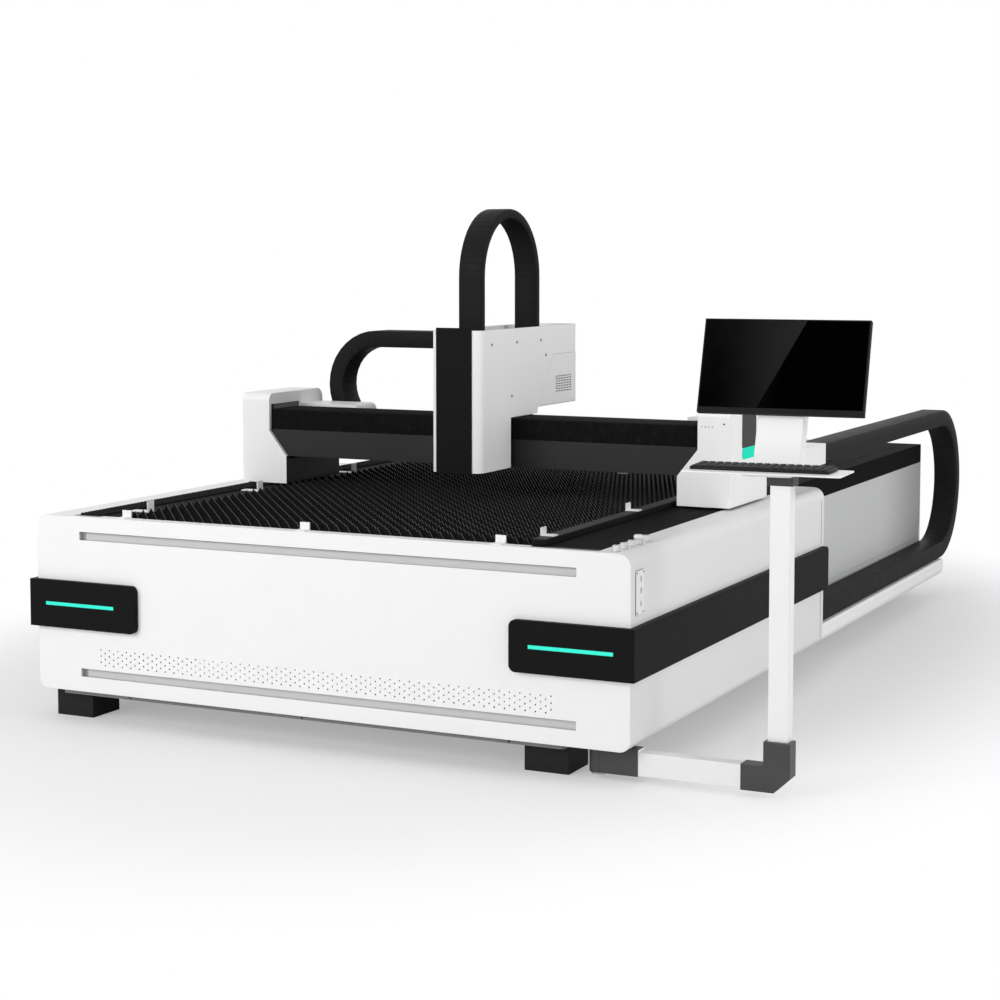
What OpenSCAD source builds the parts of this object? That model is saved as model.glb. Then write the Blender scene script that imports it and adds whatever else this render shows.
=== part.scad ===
// Flatbed fiber laser cutting machine with a moving gantry, a cutting head that rides
// across it, covered rails, energy chains and an operator console on a swing arm.
// The bed's front face is at y = 0, its middle at x = 0 and the floor at z = 0
// before on_bed() moves everything to the middle of the four anchor holes.

/* [Bed] */
// Width of the bed across the front panel
bed_w = 2200; // [2160:10:2400]
// Length of the bed from the front panel to the rear panel
bed_l = 3880; // [3840:10:4200]
// Height of the bed's lower edge above the floor
bed_bottom = 104; // [90:1:130]
// Height of the bed's upper edge above the floor
bed_top = 706; // [690:1:760]
// Width of the ledge beside the bed's rear part
ledge_w = 125; // [105:1:130]
// Length of the wide front housing
housing_l = 1943; // [1600:10:2200]
// Radius of the housing's upper edges
upper_r = 42; // [30:1:90]
// Radius of the housing's lower edges
lower_r = 35; // [15:1:50]
// Thickness of the folded sheet covers
sheet = 3; // [2:0.5:4]
// Depth of the front panel's upper fold
front_fold = 47; // [30:1:60]

/* [Front panel] */
// Distance from the long grooves' ends to the bed's sides
groove_margin = 177; // [140:1:400]
// Height of a groove
groove_h = 28; // [16:1:40]
// Depth of a groove behind the panel's face
groove_depth = 18; // [8:1:30]
// Height of the lower groove's middle
lower_groove_z = 170; // [150:1:180]
// Height of the upper groove's middle
upper_groove_z = 640; // [600:1:650]
// Distance from the ventilation field's ends to the bed's sides
vent_margin = 260; // [240:10:700]
// Distance between ventilation columns
vent_pitch = 17.5; // [15:0.5:30]
// Distance between ventilation rows
vent_row = 10.5; // [9:0.5:14]
// Width across a ventilation hole
vent_d = 6; // [3:0.5:8]
// Height of the ventilation field's middle
vent_z = 228; // [220:1:260]

/* [Frame] */
// Height of the base frame's tubes
base_h = 73; // [60:1:90]
// Width of the base frame's tubes
base_tube = 100; // [80:1:120]
// Height of the rail beams' upper faces
beam_top = 560; // [520:1:580]
// Wall of the welded tubes
tube_wall = 8; // [5:1:10]
// Width of a square foot
foot_w = 150; // [120:1:160]
// Distance from the bed's left side to the left feet's middles
foot_left_inset = 103; // [86:1:150]
// Distance from the bed's right side to the right feet's middles
foot_right_inset = 302; // [285:1:350]
// Distance from the bed's rear end to the rear feet's middles
foot_rear_inset = 145; // [135:5:500]
// Distance of the front feet's middles behind the front panel
foot_y = 135; // [120:1:160]
// Diameter of the anchor hole in a foot
anchor_d = 18; // [12:1:24]
// Thickness of a foot's base plate
foot_plate = 15; // [10:1:20]

/* [Cutting table] */
// Distance from the bed's sides to the slat field, on average
field_margin = 350; // [348:1:360]
// Offset of the slat field's middle from the bed's middle
field_mid = -8; // [-10:1:-4]
// Distance of the first slat behind the front panel
field_front = 66; // [60:1:80]
// Distance from the last slat to the bed's rear end
deck_l = 814; // [814:10:1014]
// Number of slats
slat_count = 36; // [20:1:50]
// Number of teeth on a slat
tooth_count = 40; // [20:1:60]
// Height of the tooth tips above the floor
tip_z = 727; // [700:1:730]
// Height of a tooth
tooth_h = 30; // [10:1:36]
// Height of a slat
slat_h = 97; // [60:1:110]
// Thickness of a slat
slat_t = 3; // [2:0.5:4]

/* [Rails] */
// Distance from the bed's sides to the rails' middles, on average
rail_inset = 207; // [205:1:210]
// Offset of the gantry's middle from the bed's middle
gantry_mid = 17; // [15:1:19]
// Width of a rail
rail_w = 30; // [25:1:35]
// Height of a rail
rail_h = 26; // [20:1:30]
// Width of the left rail's bellows
bellows_w = 99; // [96:1:104]
// Distance between folds of the left rail's bellows
fold_pitch = 20; // [16:1:40]

/* [Gantry] */
// Distance of the gantry's front behind the front panel
gantry_y = 1110; // [1000:1:1400]
// Depth of the gantry's end covers
gantry_d = 400; // [380:1:430]
// Distance from the bed's sides to the gantry's end covers, on average
gantry_inset = 102.5; // [100:0.5:105]
// Height of the end covers' tops
cover_top = 1059; // [1050:1:1090]
// Height of the end covers' lower edges
cover_bottom = 714; // [712:1:730]
// Width of an end cover at its top
cover_w = 120; // [110:1:125]
// Width of an end cover at its foot
cover_foot = 196; // [180:1:200]
// Height of the upper end of the cover's slanted inner edge
slant_top = 914; // [900:1:930]
// Height of the lower end of the cover's slanted inner edge
slant_bottom = 819; // [815:1:830]
// Radius of a cover's front upper edge
cover_front_r = 28; // [15:1:40]
// Radius of a cover's rear upper edge
cover_rear_r = 40; // [20:1:60]
// Thickness of the gantry's side plates
side_plate = 24; // [18:1:25]
// Height of the beam's lower cover
beam_cover_h = 102; // [95:1:110]
// Height of the bellows over the cross rails
cross_bellows_h = 77; // [70:1:79]
// Depth of the beam's covers
beam_cover_d = 204; // [190:1:210]
// Distance of the beam's covers behind the gantry's front
beam_cover_y = 16; // [10:1:20]

/* [Cutting head] */
// Left side of the head housing, from the bed's middle
head_left = -15; // [-60:1:0]
// Width of the head housing
head_w = 190; // [180:1:220]
// Distance of the head housing's front ahead of the gantry's front
head_forward = 254; // [240:1:280]
// Height of the head housing's lower edge
head_bottom = 820; // [818:1:830]
// Height of the head housing's top
head_top = 1326; // [1300:1:1360]
// Height of the underside of the housing's rear part
head_shelf = 1026; // [1020:1:1060]
// Distance from the head housing's front to its rear
head_l = 834; // [780:1:900]
// Travel of the cutting head, downwards
z_travel = 92; // [70:1:98]

/* [Energy chains] */
// Width of the long chain beside the bed
y_chain_w = 108; // [90:1:112]
// Depth of the long chain's section
y_chain_t = 74; // [50:1:76]
// Outer radius of the long chain's bend
y_chain_r = 345; // [320:1:350]
// Depth of the cross chain's section
x_chain_t = 66; // [50:1:70]
// Outer radius of the cross chain's bend
x_chain_r = 217; // [200:1:225]
// Width of the cross chain
x_chain_w = 118; // [100:1:120]
// Depth of the head chain's section
z_chain_t = 35; // [28:1:40]
// Outer radius of the head chain's bend
z_chain_r = 250; // [240:1:252]
// Width of the head chain
z_chain_w = 92; // [80:1:96]

/* [Console] */
// Distance of the swing arm's pivot from the bed's right side
pivot_inset = 135; // [125:1:160]
// Distance of the swing arm's pivot behind the front panel
pivot_y = 83; // [80:1:90]
// Length of the swing arm from its pivot to the column
arm_l = 574.5; // [560:1:640]
// Width of the swing arm's tube
arm_w = 45; // [40:1:50]
// Height of the swing arm's tube
arm_h = 72; // [60:1:76]
// Width of the column across the arm's direction
column_w = 61; // [50:1:64]
// Height of the column's top
column_top = 926; // [880:1:960]
// Width of the keyboard tray
tray_w = 474; // [460:1:560]
// Depth of the keyboard tray
tray_d = 186; // [170:1:220]
// Turn of the console's head on its column
head_yaw = 3.5; // [0:0.5:20]
// Width of the monitor
screen_w = 507; // [480:1:560]
// Height of the monitor
screen_h = 292; // [270:1:320]
// Backward tilt of the monitor
screen_tilt = 18; // [10:0.5:22]

/* [Controls] */
// Diameter of a push button
button_d = 22; // [18:1:24]
// Travel of a push button
button_travel = 4; // [2:0.5:5]
// Distance of the first button behind the front panel
first_button_y = 37; // [34:1:50]
// Distance between the buttons
button_pitch = 61; // [50:1:62]

/* [Hidden] */
$fn = 48;
fine = 0.3;
gear_module = 4;
gear_teeth = 18;
pressure_angle = 20;
backlash = 0.15;
shaft_d = 16;

half_w = bed_w / 2;
core_half = half_w - ledge_w;
foot_left = -half_w + foot_left_inset;
foot_right = half_w - foot_right_inset;
foot_rear = bed_l - foot_rear_inset;
bed_shift = [-(foot_left + foot_right) / 2, -(foot_y + foot_rear) / 2, 0];
groove_half = half_w - groove_margin;
vent_half = half_w - vent_margin;

base_top = bed_bottom + base_h;
frame_half = half_w - 50;
frame_end = bed_l - sheet;
rail_span = bed_w - 2 * rail_inset;
rail_left = gantry_mid - rail_span / 2;
rail_right = gantry_mid + rail_span / 2;
beam_side = 60;
skin = 5;
left_beam = [-core_half + skin, rail_left + beam_side];
right_beam = [rail_right - beam_side, core_half - skin];
rail_top = beam_top + rail_h;
frame_front = groove_depth;
cross_ys = [for (i = [0 : 3]) frame_front + i * (frame_end - base_tube - frame_front) / 3];
long_tube_w = 120;
long_tube_xs = [foot_left + 25, foot_right - 62];

field_w = bed_w - 2 * field_margin;
field_l = bed_l - field_front - deck_l;
field_left = field_mid - field_w / 2;
field_right = field_mid + field_w / 2;
field_rear = field_front + field_l;
deck_top = bed_top - 2 * sheet;
slat_bottom = tip_z - slat_h;
slat_pitch = field_l / (slat_count - 1);
tooth_pitch = field_w / tooth_count;
bar_t = 6;
bar_inset = 10;
bar_top = slat_bottom + 46;
cross_tube = 60;
table_ys = [frame_front, field_front + field_l / 2 - cross_tube / 2, field_rear - cross_tube + 10];

trough_inner = field_left - 9;
trough_outer = -core_half + 13;
bellows_outer = trough_outer + 5;
bellows_inner = bellows_outer + bellows_w;
left_strip = trough_outer;
right_strip = core_half + 10;
right_inner = field_right + 9;
slot_gap = 4;

gantry_w = bed_w - 2 * gantry_inset;
gantry_rear = gantry_y + gantry_d;
cover_left = gantry_mid - gantry_w / 2;
cover_right = gantry_mid + gantry_w / 2;
plate_left = [rail_left - side_plate / 2, rail_left + side_plate / 2];
plate_right = [rail_right - side_plate / 2, rail_right + side_plate / 2];
plate_ys = [gantry_y + 40, gantry_rear - 40];
forward_travel = gantry_y - 270;
rear_travel = bed_l - 1720;
slot_ys = [plate_ys[0] - forward_travel - 10, plate_ys[1] + rear_travel + 10];

pinion_y = gantry_y + gantry_d / 2;
rack_pitch_h = 20;
pinion_z = beam_top + rack_pitch_h + gear_teeth * gear_module / 2;
rack_right = [plate_right[1] + 20, plate_right[1] + 42];
rack_left = [2 * gantry_mid - rack_right[1], 2 * gantry_mid - rack_right[0]];

cover_in_y = gantry_y + beam_cover_y;
cover_out_y = cover_in_y + beam_cover_d;
beam_low = slant_bottom;
beam_mid = beam_low + beam_cover_h;
beam_high = beam_mid + cross_bellows_h;
tube_ys = [cover_in_y + 24, cover_out_y - 20];
tube_zs = [beam_low + 21, beam_mid + 19];
cross_rail_ys = [tube_ys[0] + 30, tube_ys[1] - 30];
cross_rail_w = 22;
cross_rail_h = 22;
saddle_xs = [head_left + 15, head_left + head_w - 15];
saddle_low = tube_zs[1] + 34;
saddle_high = beam_high + 23;
pass = 5;

head_right = head_left + head_w;
head_y = gantry_y - head_forward;
head_rear = head_y + head_l;
head_mid = head_left + 95;
head_back = gantry_y - 5;
nozzle_y = gantry_y - 150;
lid_z = head_top - 30;
drive_ys = [head_back - sheet - 18, head_back - sheet];
slide_front = gantry_y - 70;
corner_r = 32;
slide_top = head_bottom + 340;

y_chain_x = [core_half + 3, core_half + 3 + y_chain_w];
y_bend = [bed_l - 32, base_top + sheet + 1 + y_chain_r];
bracket_l = 490;
y_chain_start = gantry_rear + bracket_l;
x_chain_ys = [gantry_rear + 15, gantry_rear + 15 + x_chain_w];
x_tray_z = 850;
x_chain_reach = 608;
x_bend = [head_left - x_chain_reach, x_tray_z + 7 + x_chain_r];
z_bend = [gantry_y + 100.5, head_top + 184];
z_chain_x = [head_mid - 45, head_mid - 45 + z_chain_w];

pivot_x = half_w - pivot_inset;
column_x = pivot_x + arm_l;
column_d = 45;
tray_z = column_top + 40;
tray_t = 4;
tray_mid = [-49, 9];
screen_mid = [-44, 157, 1263];
screen_t = 22;
stand_w = 140;
hinge_y = screen_mid.y + 55 * cos(screen_tilt) - 60 * sin(screen_tilt);
hinge_z = screen_mid.z - 55 * sin(screen_tilt) - 60 * cos(screen_tilt);
stand_t = 4;
stand_top = hinge_z + 19;

guard_z = [322, 484];
guard_t = 20;
guard_r = 22;
guard_left_end = -half_w + 415;
guard_right_end = half_w - 395;
light_h = 12;
right_light = [half_w - 329, half_w - 48];
left_light = [-half_w + 47, -half_w + 328];
port_zs = [548, 588, 624];
stop_w = 35;
stop_foot = 4;
stop_lip = 5;
front_stop_xs = [field_left + 2, field_mid - 47, field_right - 93];
left_stop_ys = [208, 907, 1613];
right_stop_ys = [129, 818];
button_x = half_w - 63;
stop_y = first_button_y + 178;
last_button_y = first_button_y + 244;
button_ys = [first_button_y, first_button_y + button_pitch, first_button_y + 2 * button_pitch,
             stop_y, last_button_y];

// Moves what is modelled in bed coordinates to the middle of the anchor holes
module on_bed() translate(bed_shift) children();

// Box between two corners
module span(low, high) translate(low) cube(high - low);

// Profile drawn in x and z, drawn out along y
module along_y(y0, y1) translate([0, y1, 0]) rotate([90, 0, 0]) linear_extrude(y1 - y0) children();

// Profile drawn in y and z, drawn out along x
module along_x(x0, x1) translate([x0, 0, 0]) rotate([90, 0, 90]) linear_extrude(x1 - x0) children();

// Corner that a fillet takes away, where side gives the corner's direction
module corner_cut(at, side, r) difference() {
    translate([min(at.x, at.x - side.x * r), min(at.y, at.y - side.y * r)]) square(r);
    translate([at.x - side.x * r, at.y - side.y * r]) circle(r);
}

// Rectangle with radii for its lower left, lower right, upper right and upper left corner
module rounded(low, high, r) difference() {
    translate(low) square(high - low);
    if (r[0] > 0) corner_cut(low, [-1, -1], r[0]);
    if (r[1] > 0) corner_cut([high.x, low.y], [1, -1], r[1]);
    if (r[2] > 0) corner_cut(high, [1, 1], r[2]);
    if (r[3] > 0) corner_cut([low.x, high.y], [-1, 1], r[3]);
}

// Open tube from one end to the other
module tube_x(low, high, wall) difference() {
    span(low, high);
    span(low + [-1, wall, wall], high + [1, -wall, -wall]);
}

// Base frame of four cross tubes and two long tubes
module base_frame() color("dimgray") on_bed() difference() {
    union() {
        for (y = cross_ys)
            span([-frame_half, y, bed_bottom], [frame_half, y + base_tube, base_top]);
        for (x = long_tube_xs)
            span([x, frame_front, bed_bottom], [x + long_tube_w, frame_end, base_top]);
    }
    for (y = cross_ys)
        span([-half_w, y + tube_wall, bed_bottom + tube_wall],
             [half_w, y + base_tube - tube_wall, base_top - tube_wall]);
    for (x = long_tube_xs)
        span([x + tube_wall, 0, bed_bottom + tube_wall],
             [x + long_tube_w - tube_wall, bed_l, base_top - tube_wall]);
}

// Square foot, open on its inner side, with an anchor hole in its base plate
module foot(inner) difference() {
    translate([-foot_w / 2, -foot_w / 2, 0]) cube([foot_w, foot_w, bed_bottom]);
    translate([-foot_w / 2 + tube_wall, inner > 0 ? -foot_w / 2 + tube_wall : -foot_w / 2 - 1, foot_plate])
        cube([foot_w - 2 * tube_wall, foot_w - tube_wall + 1, bed_bottom - foot_plate - tube_wall]);
    translate([0, 0, -1]) cylinder(d = anchor_d, h = foot_plate + 2);
}

module feet() color("#1c1c1c") on_bed()
    for (x = [foot_left, foot_right]) {
        translate([x, foot_y, 0]) foot(1);
        translate([x, foot_rear, 0]) foot(-1);
    }

// Two long welded beams that carry the rails
module rail_beams() color("#3a3a3a") on_bed()
    for (beam = [left_beam, right_beam])
        difference() {
            span([beam[0], frame_front, base_top], [beam[1], frame_end, beam_top]);
            span([beam[0] + tube_wall, 0, base_top + tube_wall],
                 [beam[1] - tube_wall, bed_l, beam_top - tube_wall]);
        }

// Notched bar that holds the slats upright
module slat_bar(x) difference() {
    span([x, table_ys[0], beam_top], [x + bar_t, field_rear + 10, bar_top]);
    for (i = [0 : slat_count - 1])
        translate([x - 1, field_front + i * slat_pitch - fine, slat_bottom])
            cube([bar_t + 2, slat_t + 2 * fine, slat_h]);
}

module slat_frame() color("#2b2b2b") on_bed() {
    for (y = table_ys)
        tube_x([left_beam[1], y, beam_top - cross_tube], [right_beam[0], y + cross_tube, beam_top], 4);
    for (x = [field_left + bar_inset, field_mid - bar_t / 2, field_right - bar_inset - bar_t]) slat_bar(x);
}

// Saw-toothed slat that carries the sheet on its tips
module slat() translate([field_left, 0, 0]) along_y(0, slat_t) polygon(concat(
    [[0, slat_bottom]],
    [for (i = [0 : tooth_count - 1])
        for (p = [[0, tip_z - tooth_h], [0.5, tip_z]]) [(i + p.x) * tooth_pitch, p.y]],
    [[field_w, tip_z - tooth_h], [field_w, slat_bottom]]));

module slats() color("#161616") on_bed()
    for (i = [0 : slat_count - 1]) translate([0, field_front + i * slat_pitch, 0]) slat();

// Small bracket with an upright lip that faces +y and a foot behind it
module stop_bracket(foot_l, lip_h) {
    translate([-stop_w / 2, -foot_l, 0]) cube([stop_w, foot_l, stop_foot]);
    translate([-stop_w / 2, -stop_lip, stop_foot]) cube([stop_w, stop_lip, lip_h]);
}

module edge_stops() color("whitesmoke") on_bed() {
    for (x = front_stop_xs)
        translate([x, front_fold, bed_top]) stop_bracket(front_fold - 2 * sheet, 22);
    for (y = left_stop_ys)
        translate([trough_inner - 7, y, bed_top]) rotate(-90) stop_bracket(74, 35);
    for (y = right_stop_ys)
        translate([right_inner + 1, y, bed_top]) rotate(90) stop_bracket(45, 43);
}

// Slot outline in the front panel's plane
module groove(z) translate([-groove_half, z - groove_h / 2]) square([2 * groove_half, groove_h]);

module vent_field() {
    columns = floor(vent_half / vent_pitch);
    for (i = [-columns : columns], row = [-1 : 1])
        translate([i * vent_pitch, vent_z + row * 2 * vent_row + (i % 2 == 0 ? vent_row / 2 : -vent_row / 2)])
            circle(d = vent_d, $fn = 6);
}

// Front panel with two long grooves, a ventilation field and a fold over the bed's front edge
module front_panel() color("whitesmoke") on_bed() {
    along_y(0, sheet) difference() {
        rounded([-half_w, bed_bottom], [half_w, bed_top], [lower_r, lower_r, upper_r, upper_r]);
        groove(lower_groove_z);
        groove(upper_groove_z);
        vent_field();
    }
    span([left_strip, sheet, bed_top - sheet], [right_strip, front_fold, bed_top]);
    for (z = [lower_groove_z, upper_groove_z]) difference() {
        along_y(sheet, groove_depth) translate([-groove_half - 2, z - groove_h / 2 - 2])
            square([2 * groove_half + 4, groove_h + 4]);
        along_y(0, groove_depth - 2) groove(z);
    }
}

// Sill under the front panel, with a rounded right end and three small holes
module front_sill() color("darkgray") on_bed() translate([0, 0, bed_bottom - 16]) difference() {
    linear_extrude(16) rounded([-half_w + 90, 20], [half_w - 225, foot_y - foot_w / 2 - 2], [0, 18, 18, 0]);
    for (x = [-half_w + 363, -57, half_w - 411])
        translate([x, 30, 7]) rotate([90, 0, 0]) cylinder(d = 8, h = 20);
}

// Side of the front housing, folded from the top strip down and under the base frame,
// with a closed rear end beside the core
module side_cover(x) {
    along_y(sheet, housing_l) difference() {
        rounded([x, bed_bottom], [half_w, bed_top], [0, lower_r, upper_r, 0]);
        rounded([x + sheet, bed_bottom + sheet], [half_w - sheet, bed_top - sheet],
                [0, lower_r - sheet, upper_r - sheet, 0]);
        translate([x - 1, bed_bottom - 1]) square([frame_half - x + 1, bed_top - bed_bottom - 80]);
    }
    along_y(housing_l - sheet, housing_l)
        rounded([frame_half, bed_bottom + 1], [half_w - 1, bed_top - 1], [0, lower_r - 1, upper_r - 1, 0]);
    along_y(housing_l - sheet, housing_l)
        translate([core_half + 1, base_top + sheet + 2])
            square([frame_half - core_half, bed_top - base_top - 10]);
}

module right_front_cover() color("gainsboro") on_bed() difference() {
    side_cover(right_strip);
    for (y = button_ys)
        translate([button_x, y, bed_top - 10]) cylinder(d = button_d + 4, h = 20);
}

module left_front_cover() color("gainsboro") on_bed() mirror([1, 0, 0]) side_cover(-left_strip);

// Guard that wraps a front corner, open at its back
module guard_shell(reach) difference() {
    union() {
        along_y(-guard_t, 0)
            rounded([half_w - reach, guard_z[0]], [half_w + guard_t, guard_z[1]], [guard_r, 0, 0, guard_r]);
        along_x(half_w, half_w + guard_t)
            rounded([-1, guard_z[0]], [housing_l, guard_z[1]], [0, guard_r, guard_r, 0]);
    }
    along_y(-guard_t + sheet, 1)
        rounded([half_w - reach + sheet, guard_z[0] + sheet], [half_w + guard_t - sheet, guard_z[1] - sheet],
                [guard_r - sheet, 0, 0, guard_r - sheet]);
    along_x(half_w - 1, half_w + guard_t - sheet)
        rounded([-2, guard_z[0] + sheet], [housing_l - sheet, guard_z[1] - sheet],
                [0, guard_r - sheet, guard_r - sheet, 0]);
}

// Slot in a guard's front for its light strip
module strip_slot(ends, grow) {
    mid = (guard_z[0] + guard_z[1]) / 2 + 1;
    span([ends[0] - grow, -guard_t - 1 + (grow > 0 ? 0 : 1), mid - light_h / 2 - grow],
         [ends[1] + grow, -guard_t + sheet, mid + light_h / 2 + grow]);
}

module guards() color("#1e1e1e") on_bed() {
    difference() {
        guard_shell(half_w - guard_right_end);
        strip_slot(right_light, 0.2);
    }
    difference() {
        mirror([1, 0, 0]) guard_shell(half_w + guard_left_end);
        strip_slot(left_light, 0.2);
    }
}

module light_strips() color("turquoise") on_bed() {
    strip_slot(right_light, 0);
    strip_slot(left_light, 0);
}

// Plate with three upright sockets, each with a raised rim and an open mouth
module port_plate() color("white") on_bed() difference() {
    union() {
        along_x(half_w, half_w + 3) rounded([38, 515], [100, 650], [6, 6, 6, 6]);
        for (z = port_zs) span([half_w, 66, z - 11], [half_w + 4, 80, z + 11]);
    }
    for (z = port_zs) span([half_w + 1, 70, z - 9], [half_w + 5, 76, z + 9]);
}

// Grey side skins behind the front housing
module rear_side_panels() color("darkgray") on_bed()
    for (side = [0, 1]) mirror([side, 0, 0])
        along_x(core_half - skin, core_half)
            rounded([housing_l + 5, base_top + 96], [bed_l - 8, bed_top - 83], [0, 90, 0, 0]);

// Rounded ledges beside the rear of the bed; the right one carries the long chain
module chain_ledges() color("gainsboro") on_bed()
    for (side = [0, 1]) mirror([side, 0, 0])
        along_y(housing_l, bed_l - 53) difference() {
            rounded([core_half - skin, bed_bottom], [half_w, base_top + sheet], [0, lower_r, 8, 0]);
            rounded([core_half - skin - 1, bed_bottom + sheet], [half_w - sheet, base_top],
                    [0, lower_r - sheet, 5, 0]);
            translate([core_half - skin - 1, bed_bottom - 1]) square([frame_half - core_half + skin + 1, 20]);
        }

module rear_panel() color("whitesmoke") on_bed() along_y(frame_end, bed_l)
    rounded([-core_half, bed_bottom], [core_half, bed_top], [lower_r, lower_r, 12, 12]);

// Deck between the last slat and the rear panel
module rear_deck() color("#1a1a1a") on_bed() along_x(trough_inner + sheet, right_inner) difference() {
    translate([field_rear + 14, beam_top]) square([frame_end - field_rear - 14, deck_top - beam_top]);
    translate([field_rear + 14 + sheet, beam_top - 1])
        square([frame_end - field_rear, deck_top - beam_top + 1 - sheet]);
}

// Inner half of the flat cover over the right rail
module right_inner_rail_cover() color("#171717") on_bed() {
    span([right_inner, frame_front, beam_top], [right_inner + sheet, frame_end, bed_top - sheet]);
    difference() {
        span([right_inner, front_fold, bed_top - sheet], [rail_right, frame_end, bed_top]);
        span([plate_right[0] - slot_gap, slot_ys[0], bed_top - 10], [core_half, slot_ys[1], bed_top + 10]);
    }
}

// Outer half of the flat cover over the right rail, with a skirt behind the housing
module right_outer_rail_cover() color("#171717") on_bed() {
    leg = rail_right + 57;
    span([leg, frame_front, beam_top], [leg + sheet, frame_end, bed_top - sheet]);
    difference() {
        union() {
            span([rail_right, front_fold, bed_top - sheet], [right_strip, housing_l, bed_top]);
            span([rail_right, housing_l, bed_top - sheet], [core_half, frame_end, bed_top]);
        }
        span([rail_right - 30, slot_ys[0], bed_top - 10],
             [plate_right[1] + slot_gap, slot_ys[1], bed_top + 10]);
    }
    span([core_half - sheet, housing_l, bed_top - 83], [core_half, frame_end, bed_top - sheet]);
}

// Covers beside the left bellows: outer skirt behind the housing, and inner flat strip on its wall
module left_rail_cover() color("#171717") on_bed() {
    span([-core_half, housing_l, bed_top - 83], [-core_half + sheet, frame_end, bed_top]);
    span([-core_half + sheet, housing_l, bed_top - sheet], [trough_outer, frame_end, bed_top]);
    span([trough_outer, housing_l, beam_top], [trough_outer + sheet, frame_end, bed_top]);
    span([trough_inner, frame_front, beam_top], [trough_inner + sheet, frame_end, bed_top - sheet]);
    span([bellows_inner + 2, front_fold, bed_top - sheet], [trough_inner + sheet, frame_end, bed_top]);
}

// Profiled rail with waisted sides
module rail_profile(w, h) polygon([
    [-w / 2, 0], [w / 2, 0], [w / 2, h * 0.3], [w / 2 - 3, h * 0.45], [w / 2 - 3, h * 0.6],
    [w / 2, h * 0.75], [w / 2, h], [-w / 2, h], [-w / 2, h * 0.75], [-w / 2 + 3, h * 0.6],
    [-w / 2 + 3, h * 0.45], [-w / 2, h * 0.3]]);

// Toothed rack with its teeth upwards; a gap lies at y = 0, below the pinion's lowest tooth
module rack(x0, x1, first, last) {
    pitch = PI * gear_module;
    half = pitch / 4 - backlash;
    slope = tan(pressure_angle);
    along_x(x0, x1) polygon(concat(
        [[(first - 0.5) * pitch + half, 0], [(first - 0.5) * pitch + half, rack_pitch_h - 1.25 * gear_module]],
        [for (i = [first : last])
            for (p = [[-half - 1.25 * gear_module * slope, -1.25 * gear_module],
                      [-half + gear_module * slope, gear_module],
                      [half - gear_module * slope, gear_module],
                      [half + 1.25 * gear_module * slope, -1.25 * gear_module]])
                [(i + 0.5) * pitch + p.x, rack_pitch_h + p.y]],
        [[(last + 1.5) * pitch - half, rack_pitch_h - 1.25 * gear_module], [(last + 1.5) * pitch - half, 0]]));
}

// Rails and racks on the beams' upper faces
module y_rails() color("silver") on_bed() {
    pitch = PI * gear_module;
    for (x = [rail_left, rail_right])
        translate([x, 0, beam_top]) along_y(60, frame_end - 60) rail_profile(rail_w, rail_h);
    for (x = [rack_left, rack_right])
        translate([0, pinion_y, beam_top])
            rack(x[0], x[1], -ceil((forward_travel + 60) / pitch), ceil((rear_travel + 60) / pitch));
}

// Accordion cover with raised folds, open underneath
module rail_bellows(y0, y1) {
    folds = floor((y1 - y0) / fold_pitch);
    pitch = (y1 - y0) / folds;
    low = [bellows_outer, bed_top - 50];
    high = [bellows_inner, bed_top + 6];
    along_y(y0, y1) difference() {
        translate(low + [3, 0]) square(high - low - [6, 4]);
        translate(low + [6, -1]) square(high - low - [12, 6]);
    }
    for (i = [0 : folds - 1])
        translate([0, y0 + (i + 0.3) * pitch, 0]) along_y(0, pitch * 0.4) difference() {
            translate(low) square(high - low);
            translate(low + [3, -1]) square(high - low - [6, 3]);
        }
}

module left_bellows() color("#141414") on_bed() {
    rail_bellows(front_fold, gantry_y + 2);
    rail_bellows(gantry_rear - 2, frame_end);
}

// Side view of a chain: two runs and the half ring that joins them.
// The bend opens towards -x of the profile; the runs end at upper and lower.
module chain_profile(bend, r, t, upper, lower) {
    difference() {
        translate(bend) circle(r, $fn = 96);
        translate(bend) circle(r - t, $fn = 96);
        translate([bend.x - 2 * r, bend.y - r - 1]) square([2 * r, 2 * r + 2]);
    }
    translate([upper, bend.y + r - t]) square([bend.x - upper, t]);
    translate([lower, bend.y - r]) square([bend.x - lower, t]);
}

module y_chain() color("#222222") on_bed() along_x(y_chain_x[0], y_chain_x[1])
    chain_profile(y_bend, y_chain_r, y_chain_t, y_chain_start, housing_l + 5);

// Pin under the frame that the console's arm turns on, with a collar that holds the arm up
module pivot_pin() color("silver") on_bed() translate([pivot_x, pivot_y, 0]) {
    translate([0, 0, 14]) cylinder(d = 30, h = bed_bottom - 14);
    translate([0, 0, 13.7]) cylinder(d = 50, h = 6);
}

// Ring, sleeve and bottom of a button's housing
module button_socket() {
    difference() {
        union() {
            cylinder(d = button_d + 8, h = 3);
            translate([0, 0, -24]) cylinder(d = button_d + 4 - fine, h = 24.5);
        }
        translate([0, 0, -21]) cylinder(d = button_d + 1, h = 30);
    }
}

module button_bezels() color("silver") on_bed()
    for (y = button_ys)
        translate([button_x, y, bed_top]) button_socket();

// Plunger with a flat cap
module button(y) translate([button_x, y, bed_top - 20.5 + button_travel])
    cylinder(d = button_d, h = 40 - button_travel);

module button_1() color("whitesmoke") on_bed() button(first_button_y);
module button_2() color("whitesmoke") on_bed() button(first_button_y + button_pitch);
module button_3() color("whitesmoke") on_bed() button(first_button_y + 2 * button_pitch);
module button_4() color("whitesmoke") on_bed() button(last_button_y);

module emergency_stop() color("whitesmoke") on_bed() translate([button_x, stop_y, bed_top]) {
    translate([0, 0, -21 + button_travel + 0.5]) cylinder(d = button_d, h = 32 - button_travel);
    translate([0, 0, 11.5]) cylinder(d = 16, h = 6);
    translate([0, 0, 17.5]) rotate_extrude() rounded([0, 0], [15, 12.5], [0, 3, 6, 0]);
}

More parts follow.
